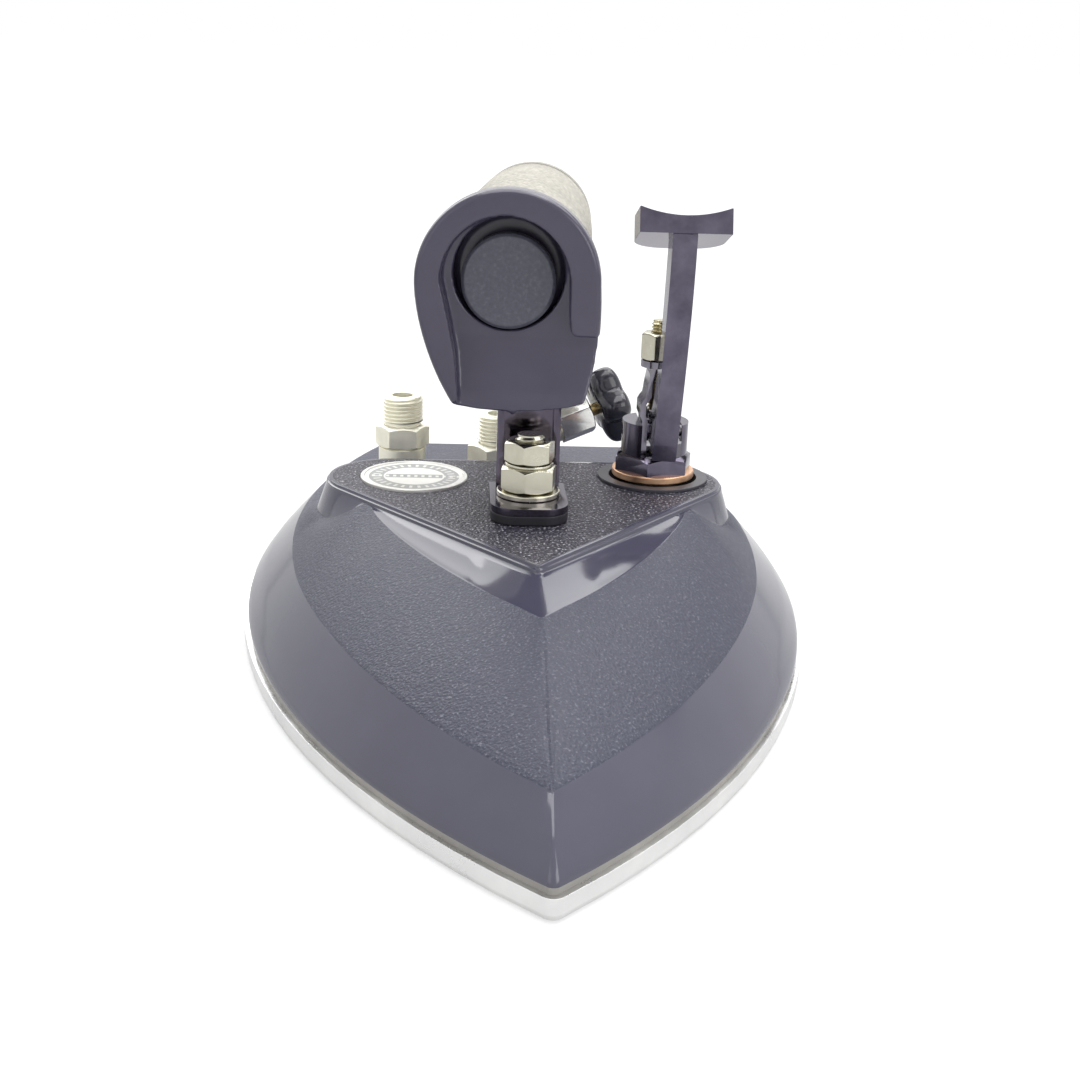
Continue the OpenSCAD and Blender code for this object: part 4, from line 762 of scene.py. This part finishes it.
def threaded(bm, r, pitch, z0, z1, at, bore=0.0, steps=40, chamfer=0.5):
    """A length of screw thread cut by a V tool, closed at both ends, chamfered at the top, with a bore."""
    depth = 0.6*pitch
    turns = math.ceil((z1 - z0)/pitch) + 2
    tool = [(r - depth, 0.0), (r - 0.05*pitch, 0.42*pitch), (r - 0.05*pitch, 0.58*pitch), (r - depth, pitch)]
    cut = bmesh.new()
    verts = [cut.verts.new(Vector((x, 0, z0 - pitch + z))*MM) for x, z in tool]
    lines = [cut.edges.new((verts[k - 1], verts[k])) for k in range(1, len(verts))]
    bmesh.ops.spin(cut, geom=verts + lines, cent=(0, 0, 0), axis=(0, 0, 1), angle=math.tau*turns,
                   steps=steps*turns, dvec=(0, 0, pitch*MM/steps), use_merge=False)
    bmesh.ops.remove_doubles(cut, verts=cut.verts, dist=0.01*MM)
    for z, side in ((z0, -1), (z1, 1)):
        bmesh.ops.bisect_plane(cut, geom=cut.verts[:] + cut.edges[:] + cut.faces[:], dist=0.0001*MM,
                               plane_co=(0, 0, z*MM), plane_no=(0, 0, side), clear_outer=True)
    for vert in cut.verts:
        far = math.hypot(vert.co.x, vert.co.y)
        top = (r - max(vert.co.z/MM - z1 + chamfer, 0))*MM
        if far > top:
            vert.co.x, vert.co.y = vert.co.x*top/far, vert.co.y*top/far
    if bore:
        wall = bmesh.ops.create_cone(cut, cap_ends=False, segments=40, radius1=bore*MM, radius2=bore*MM,
                                     depth=(z1 - z0)*MM, matrix=Matrix.Translation(Vector((0, 0, (z0 + z1)/2))*MM))
    for z in (z0, z1):
        rims = [e for e in cut.edges if e.is_boundary and all(abs(v.co.z/MM - z) < 0.001 for v in e.verts)]
        bmesh.ops.triangle_fill(cut, use_beauty=True, use_dissolve=False, edges=rims, normal=(0, 0, 1))
    bmesh.ops.recalc_face_normals(cut, faces=cut.faces)
    bmesh.ops.translate(cut, verts=cut.verts, vec=Vector((*at, 0))*MM)
    made = bpy.data.meshes.new("thread")
    cut.to_mesh(made)
    cut.free()
    bm.from_mesh(made)
    bpy.data.meshes.remove(made)


def screwed(name, new_name, mat, z_cut, z_top, r, pitch, at, bore=0.0, steps=40, chamfer=0.5, edge=0.2*MM):
    """A CAD part whose plain upper length is taken off at z_cut and made again as a real thread."""
    bm = bmesh.new()
    bm.from_mesh(cad[name].data)
    bmesh.ops.remove_doubles(bm, verts=bm.verts, dist=0.001*MM)
    bmesh.ops.dissolve_limit(bm, angle_limit=math.radians(0.4), verts=bm.verts, edges=bm.edges)
    near = [v for v in bm.verts if (Vector(v.co[:2]) - Vector(at)*MM).length < 3*r*MM]
    inside_it = set(near)
    geom = near + [e for e in bm.edges if set(e.verts) <= inside_it] + [f for f in bm.faces
                                                                        if set(f.verts) <= inside_it]
    if z_cut is not None:
        bmesh.ops.bisect_plane(bm, geom=geom, dist=0.0001*MM, plane_co=(0, 0, z_cut*MM), plane_no=(0, 0, 1),
                               clear_outer=True)
        rims = [e for e in bm.edges if e.is_boundary]
        bmesh.ops.triangle_fill(bm, use_beauty=True, use_dissolve=False, edges=rims, normal=(0, 0, 1))
    body = bpy.data.meshes.new(new_name)
    bm.to_mesh(body)
    bm.free()
    piece = place(body, new_name, [mat], cad[name]["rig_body"], [name], edge)
    bm = bmesh.new()
    threaded(bm, r, pitch, z_cut + 0.01, z_top, at, bore, steps, chamfer)
    cut = bpy.data.meshes.new(new_name + "_thread")
    bm.to_mesh(cut)
    bm.free()
    thread = place(cut, new_name + "_thread", [mat], cad[name]["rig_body"], [name], sharp=40)


# The stroke screw is threaded from its tip, over the lever's cam, to its head end above the lock nut
screw_low, screw_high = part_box("stroke_screw")
pale_brass = coat("pale_brass", (0.7, 0.64, 0.44), (0.55, 0.49, 0.32), (0.18, 0.32), 1.0, patch=2.5*MM,
                  grain=0.006*MM)
bm = bmesh.new()
threaded(bm, 2.0, 0.7, screw_low[2]/MM, screw_high[2]/MM, valve_at, steps=32, chamfer=0.5)
screw_mesh = bpy.data.meshes.new("adjusting_screw")
bm.to_mesh(screw_mesh)
bm.free()
place(screw_mesh, "adjusting_screw", [pale_brass], cad["stroke_screw"]["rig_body"], ["stroke_screw"],
              sharp=40)
painted(bright_steel, "valve_spring")
painted(waxed_packing, "stem_packing")

# Brackets: two dark plated channels bent from sheet, each on a black insulating block, held down by a stud
# with a thick washer, a nut, a thin washer and a lock nut, all nickel plated brass.
black_block = coat("black_block", (0.016, 0.014, 0.021), (0.011, 0.01, 0.014), (0.4, 0.55), grain=0.02*MM,
                   grain_size=0.4*MM)
deep_plate = coat("deep_plating", (0.12, 0.105, 0.14), (0.08, 0.07, 0.095), (0.08, 0.18), 1.0, patch=5*MM,
                  grain=0.004*MM, grain_size=0.6*MM)
for name, new_name, mat, slot, edge in (
        ("front_foot", "front_block", black_block, "foot", 0.3*MM),
        ("rear_foot", "rear_block", black_block, "foot", 0.3*MM),
        ("front_bracket", "front_channel", deep_plate, "dark_plate", 0.25*MM),
        ("rear_bracket", "rear_channel", deep_plate, "dark_plate", 0.25*MM),
        ("stud_washers", "plated_washers", pale_nickel, "nickel", 0.25*MM),
        ("stud_nuts", "lower_nuts", pale_nickel, "nickel", 0.2*MM),
        ("lock_nuts", "upper_nuts", pale_nickel, "nickel", 0.2*MM)):
    finished(name, new_name, mat, edge)
for name in ("front_stud", "rear_stud"):
    middle, tip = box_middle(name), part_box(name)[1][2]/MM
    screwed(name, name + "_blank", pale_nickel, tip - 4, tip, 3.0, 1.0, (middle[0], middle[1]),
            chamfer=0.6)
painted(bright_steel, "stud_spacers")

# Handle: a ground cork grip on a long bolt between the brackets, with a moulded hand guard in front that has
# a raised horseshoe rim, a grey cap over the bolt's head, and a ferrule and cap nut behind.
moulded_black = coat("moulded_black", (0.062, 0.056, 0.088), (0.048, 0.043, 0.07), (0.14, 0.24), patch=0.02,
                     grain=0.008*MM, grain_size=1.2*MM)
# The cap and the cork take the same painted shade between their cells and small painted highlights
grey_cap = moulded("grey_cap", (0.082, 0.083, 0.11), (0.062, 0.063, 0.086), (0.36, 0.5), 0.02*MM, 0.9*MM,
                   0.1, 0.012)
ground_cork = moulded("ground_cork", (0.5, 0.48, 0.43), (0.36, 0.345, 0.305), (0.8, 0.95), 0.2*MM, 1.1*MM,
                      0.22, 0.06)
guard_r, guard_depth, guard_neck = 16.8, 24.5, 14.5
guard_mid = Vector((0.5, -3))
recess_floor = -guard_depth + 5.4
in_handle = Matrix.Translation(Vector((-4.2, 0, 78))*MM) @ Matrix.Rotation(math.radians(-5.1), 4, "Z")


def bent(points, steps):
    """Points along a cubic curve, without its last."""
    made = []
    for k in range(steps):
        t = k/steps
        u = 1 - t
        a, b, c, d = (Vector(p) for p in points)
        made.append(a*u**3 + b*3*u*u*t + c*3*u*t*t + d*t**3)
    return made


guard_outline = (bent([(16.8, 0), (17.4, -8), (16.6, -15), (14.6, -21.3)], 24)
                 + bent([(14.6, -21.3), (8, -23.4), (-3, -23.6), (-9.5, -22.2)], 24)
                 + bent([(-9.5, -22.2), (-13, -17), (-16.6, -8), (-16.8, 0)], 24)
                 + [Vector((guard_r*math.cos(math.radians(a)), guard_r*math.sin(math.radians(a))))
                    for a in range(180, 0, -3)])


def guard_ring(y, k, neck):
    """The guard's outline at depth y, shrunk to k and drawn in toward the round neck."""
    ring = []
    for p in guard_outline:
        q = (guard_mid + (p - guard_mid)*k)*(1 - neck) + p*(guard_neck/p.length)*neck
        ring.append(Vector((q[0], y, q[1])))
    return ring


rows = [guard_ring(-guard_depth + 1.5*(1 - math.cos(math.radians(a))), 0.955 + 0.045*math.sin(math.radians(a)), 0)
        for a in range(0, 91, 15)]
rows += [guard_ring(y, k, neck) for y, k, neck in (
    (-19.5, 1, 0), (-17.3, 0.99, 0.03), (-15.5, 0.975, 0.1), (-13.6, 0.962, 0.24), (-11.8, 0.953, 0.42),
    (-10, 0.95, 0.6), (-8, 0.947, 0.76), (-6.4, 0.948, 0.87), (-5, 0.95, 0.95), (-3.4, 0.965, 0.98),
    (-1.7, 0.985, 1), (0, 1, 1))]
bm = bmesh.new()
ring = first_ring(bm, rows[0])
bmesh.ops.contextual_create(bm, geom=ring)
for row in rows[1:]:
    ring, _ = next_ring(bm, ring, row)
bmesh.ops.contextual_create(bm, geom=ring)
# A small gate mark is left on the lower edge
bmesh.ops.create_icosphere(bm, subdivisions=2, radius=0.9*MM, matrix=Matrix.Translation(Vector((1.6, -22.9, -23))*MM))
bmesh.ops.recalc_face_normals(bm, faces=bm.faces)
blank = bpy.data.meshes.new("guard_blank")
bm.to_mesh(blank)
bm.free()


def prism(outline, along):
    """A tool with a straight outline, pushed along a vector."""
    bm = bmesh.new()
    ring = first_ring(bm, outline)
    made = bmesh.ops.triangle_fill(bm, use_beauty=True, use_dissolve=False, edges=bm.edges)["geom"]
    face = [f for f in made if isinstance(f, bmesh.types.BMFace)]
    pushed = bmesh.ops.extrude_face_region(bm, geom=face, use_keep_orig=True)["geom"]
    bmesh.ops.translate(bm, verts=[v for v in pushed if isinstance(v, bmesh.types.BMVert)],
                        vec=Vector(along)*MM)
    bmesh.ops.recalc_face_normals(bm, faces=bm.faces)
    mesh = bpy.data.meshes.new("prism")
    bm.to_mesh(mesh)
    bm.free()
    return mesh


def tool_of(mesh):
    tool = bpy.data.objects.new("tool", mesh)
    bpy.context.scene.collection.objects.link(tool)
    return tool


arch = [(-0.4 + 11.7*math.cos(math.radians(a)), 0.3 + 11.7*math.sin(math.radians(a))) for a in range(180, -1, -5)]
mouth = arch + [(11.6, -8), (12.5, -8.8), (26, -8.8), (26, -30), (-8.1, -30), (-8.3, -22), (-9.2, -13),
                (-10.6, -6)]
floor = [(-30.5, 30), (recess_floor, 30), (recess_floor, -10), (recess_floor - 0.3, -13),
         (recess_floor - 1.2, -16.5), (recess_floor - 2.6, -19.5), (recess_floor - 4.4, -22),
         (recess_floor - 5.2, -23.4), (-30.5, -27)]
mouth_tool = prism([Vector((x, -29.5, z)) for x, z in mouth], (0, 20, 0))
floor_tool = prism([Vector((-30, y, z)) for y, z in floor], (60, 0, 0))
hollow = carved(mouth_tool, tool_of(floor_tool), "INTERSECT")
blank = carved(blank, tool_of(hollow))
for r, up, y0, y1 in ((9.0, 0, -23.1, -17.05), (6.9, 0, -23, -12.1), (4.1, 0, -24, 2), (10.2, 1.3, -23, -14.2)):
    bm = bmesh.new()
    bmesh.ops.create_cone(bm, cap_ends=True, segments=96, radius1=r*MM, radius2=r*MM, depth=(y1 - y0)*MM,
                          matrix=Matrix.Translation(Vector((0, (y0 + y1)/2, up))*MM)
                          @ Matrix.Rotation(math.pi/2, 4, "X"))
    drill = bpy.data.meshes.new("drill")
    bm.to_mesh(drill)
    bm.free()
    blank = carved(blank, tool_of(drill))
softened = tool_of(blank)
remesh = softened.modifiers.new("one_skin", "REMESH")
remesh.mode = "VOXEL"
remesh.voxel_size = 0.36*MM
ease = softened.modifiers.new("ease", "SMOOTH")
ease.factor = 0.5
ease.iterations = 9
guard_mesh = bpy.data.meshes.new_from_object(softened.evaluated_get(bpy.context.evaluated_depsgraph_get()))
bpy.data.objects.remove(softened)
guard_mesh.transform(in_handle)
guard_mesh.materials.clear()
place(guard_mesh, "soft_edged_guard", [moulded_black], "iron", ["hand_guard"], sharp=180)
for name, new_name, mat, slot, edge in (
        ("guard_cap", "grey_disc", grey_cap, "cap", 0.2*MM),
        ("cork_grip", "cork_sleeve", ground_cork, "cork", 0.2*MM),
        ("grip_ferrule", "fibre_ferrule", fibre, "gasket", 0.3*MM),
        ("handle_nut", "cap_nut", pale_nickel, "nickel", 0.2*MM)):
    finished(name, new_name, mat, edge)
painted(bright_steel, "handle_bolt")

# Fittings: the nickel plated steam inlet and drain valve with their hose threads, the packing nut on the
# drain valve's arm, the brass needle and the five-lobed black knob with its screw.
bright_nickel = coat("bright_nickel", (0.96, 0.94, 0.82), (0.86, 0.84, 0.72), (0.48, 0.62), 1.0, patch=3*MM,
                     grain=0.008*MM, grain_size=0.35*MM)
for name, new_name, at in (("inlet_nipple", "inlet_fitting", inlet_at), ("drain_valve_body", "drain_fitting", drain_at)):
    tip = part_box(name)[1][2]/MM if name == "inlet_nipple" else drain_top
    screwed(name, new_name, bright_nickel, tip - 6.0, tip, 4.864, 0.907, at, 2.5, 48, 0.6)
gloss_black = coat("gloss_black", (0.03, 0.03, 0.042), (0.02, 0.02, 0.03), (0.05, 0.14), patch=0.01,
                   grain=0.006*MM, grain_size=0.8*MM)
for name, new_name, mat, slot, edge in (
        ("drain_packing_nut", "packing_hexagon", bright_steel, "steel", 0.2*MM),
        ("drain_needle", "needle_spindle", turned_brass, "brass", 0.1*MM),
        ("knob_screw", "knob_face_screw", bright_steel, "steel", 0.15*MM)):
    finished(name, new_name, mat, edge)

# The knob is a solid of rings drawn along the valve's arm, lobed outside and hollow in front round its screw
knob_foot, knob_len, knob_r, knob_valley = 25.6, 7.0, 9.4, 6.9
along_arm = (Matrix.Translation(Vector((*drain_at, 27.8))*MM) @ Matrix.Rotation(math.radians(12), 4, "Z")
             @ Matrix.Rotation(math.radians(70), 4, "Y") @ Matrix.Translation(Vector((0, 0, knob_foot))*MM))


def knob_ring(t, r, lobed):
    ring = []
    for k in range(120):
        a = math.tau*k/120
        dent = (0.5 - 0.5*math.cos(5*(a - math.radians(48))))**1.3*(knob_r - knob_valley)/knob_r*lobed
        ring.append(Vector((r*(1 - dent)*math.cos(a), r*(1 - dent)*math.sin(a), t)))
    return ring


rows = [knob_ring(t, r, 0) for t, r in ((5.2, 1.55), (5.2, 2.9), (6.5, 2.9), (6.8, 3.0), (6.95, 3.25))]
for k in range(0, 25):
    u = math.cos(math.pi*k/24)
    rows.append(knob_ring(3.5 + 3.5*u, knob_r*(0.6 + 0.4*math.sqrt(1 - abs(u)**3)), 1))
rows += [knob_ring(t, r, 0) for t, r in ((0.0, 3.0), (0.0, 1.55), (2.6, 1.55), (5.2, 1.55))]
bm = bmesh.new()
ring = first_ring(bm, rows[0])
for row in rows[1:]:
    ring, _ = next_ring(bm, ring, row)
bmesh.ops.remove_doubles(bm, verts=bm.verts, dist=0.001*MM)
bmesh.ops.recalc_face_normals(bm, faces=bm.faces)
knob_mesh = bpy.data.meshes.new("lobed_knob")
bm.to_mesh(knob_mesh)
bm.free()
knob_mesh.transform(along_arm)
place(knob_mesh, "lobed_knob", [gloss_black], cad["drain_knob"]["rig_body"], ["drain_knob"], sharp=50)
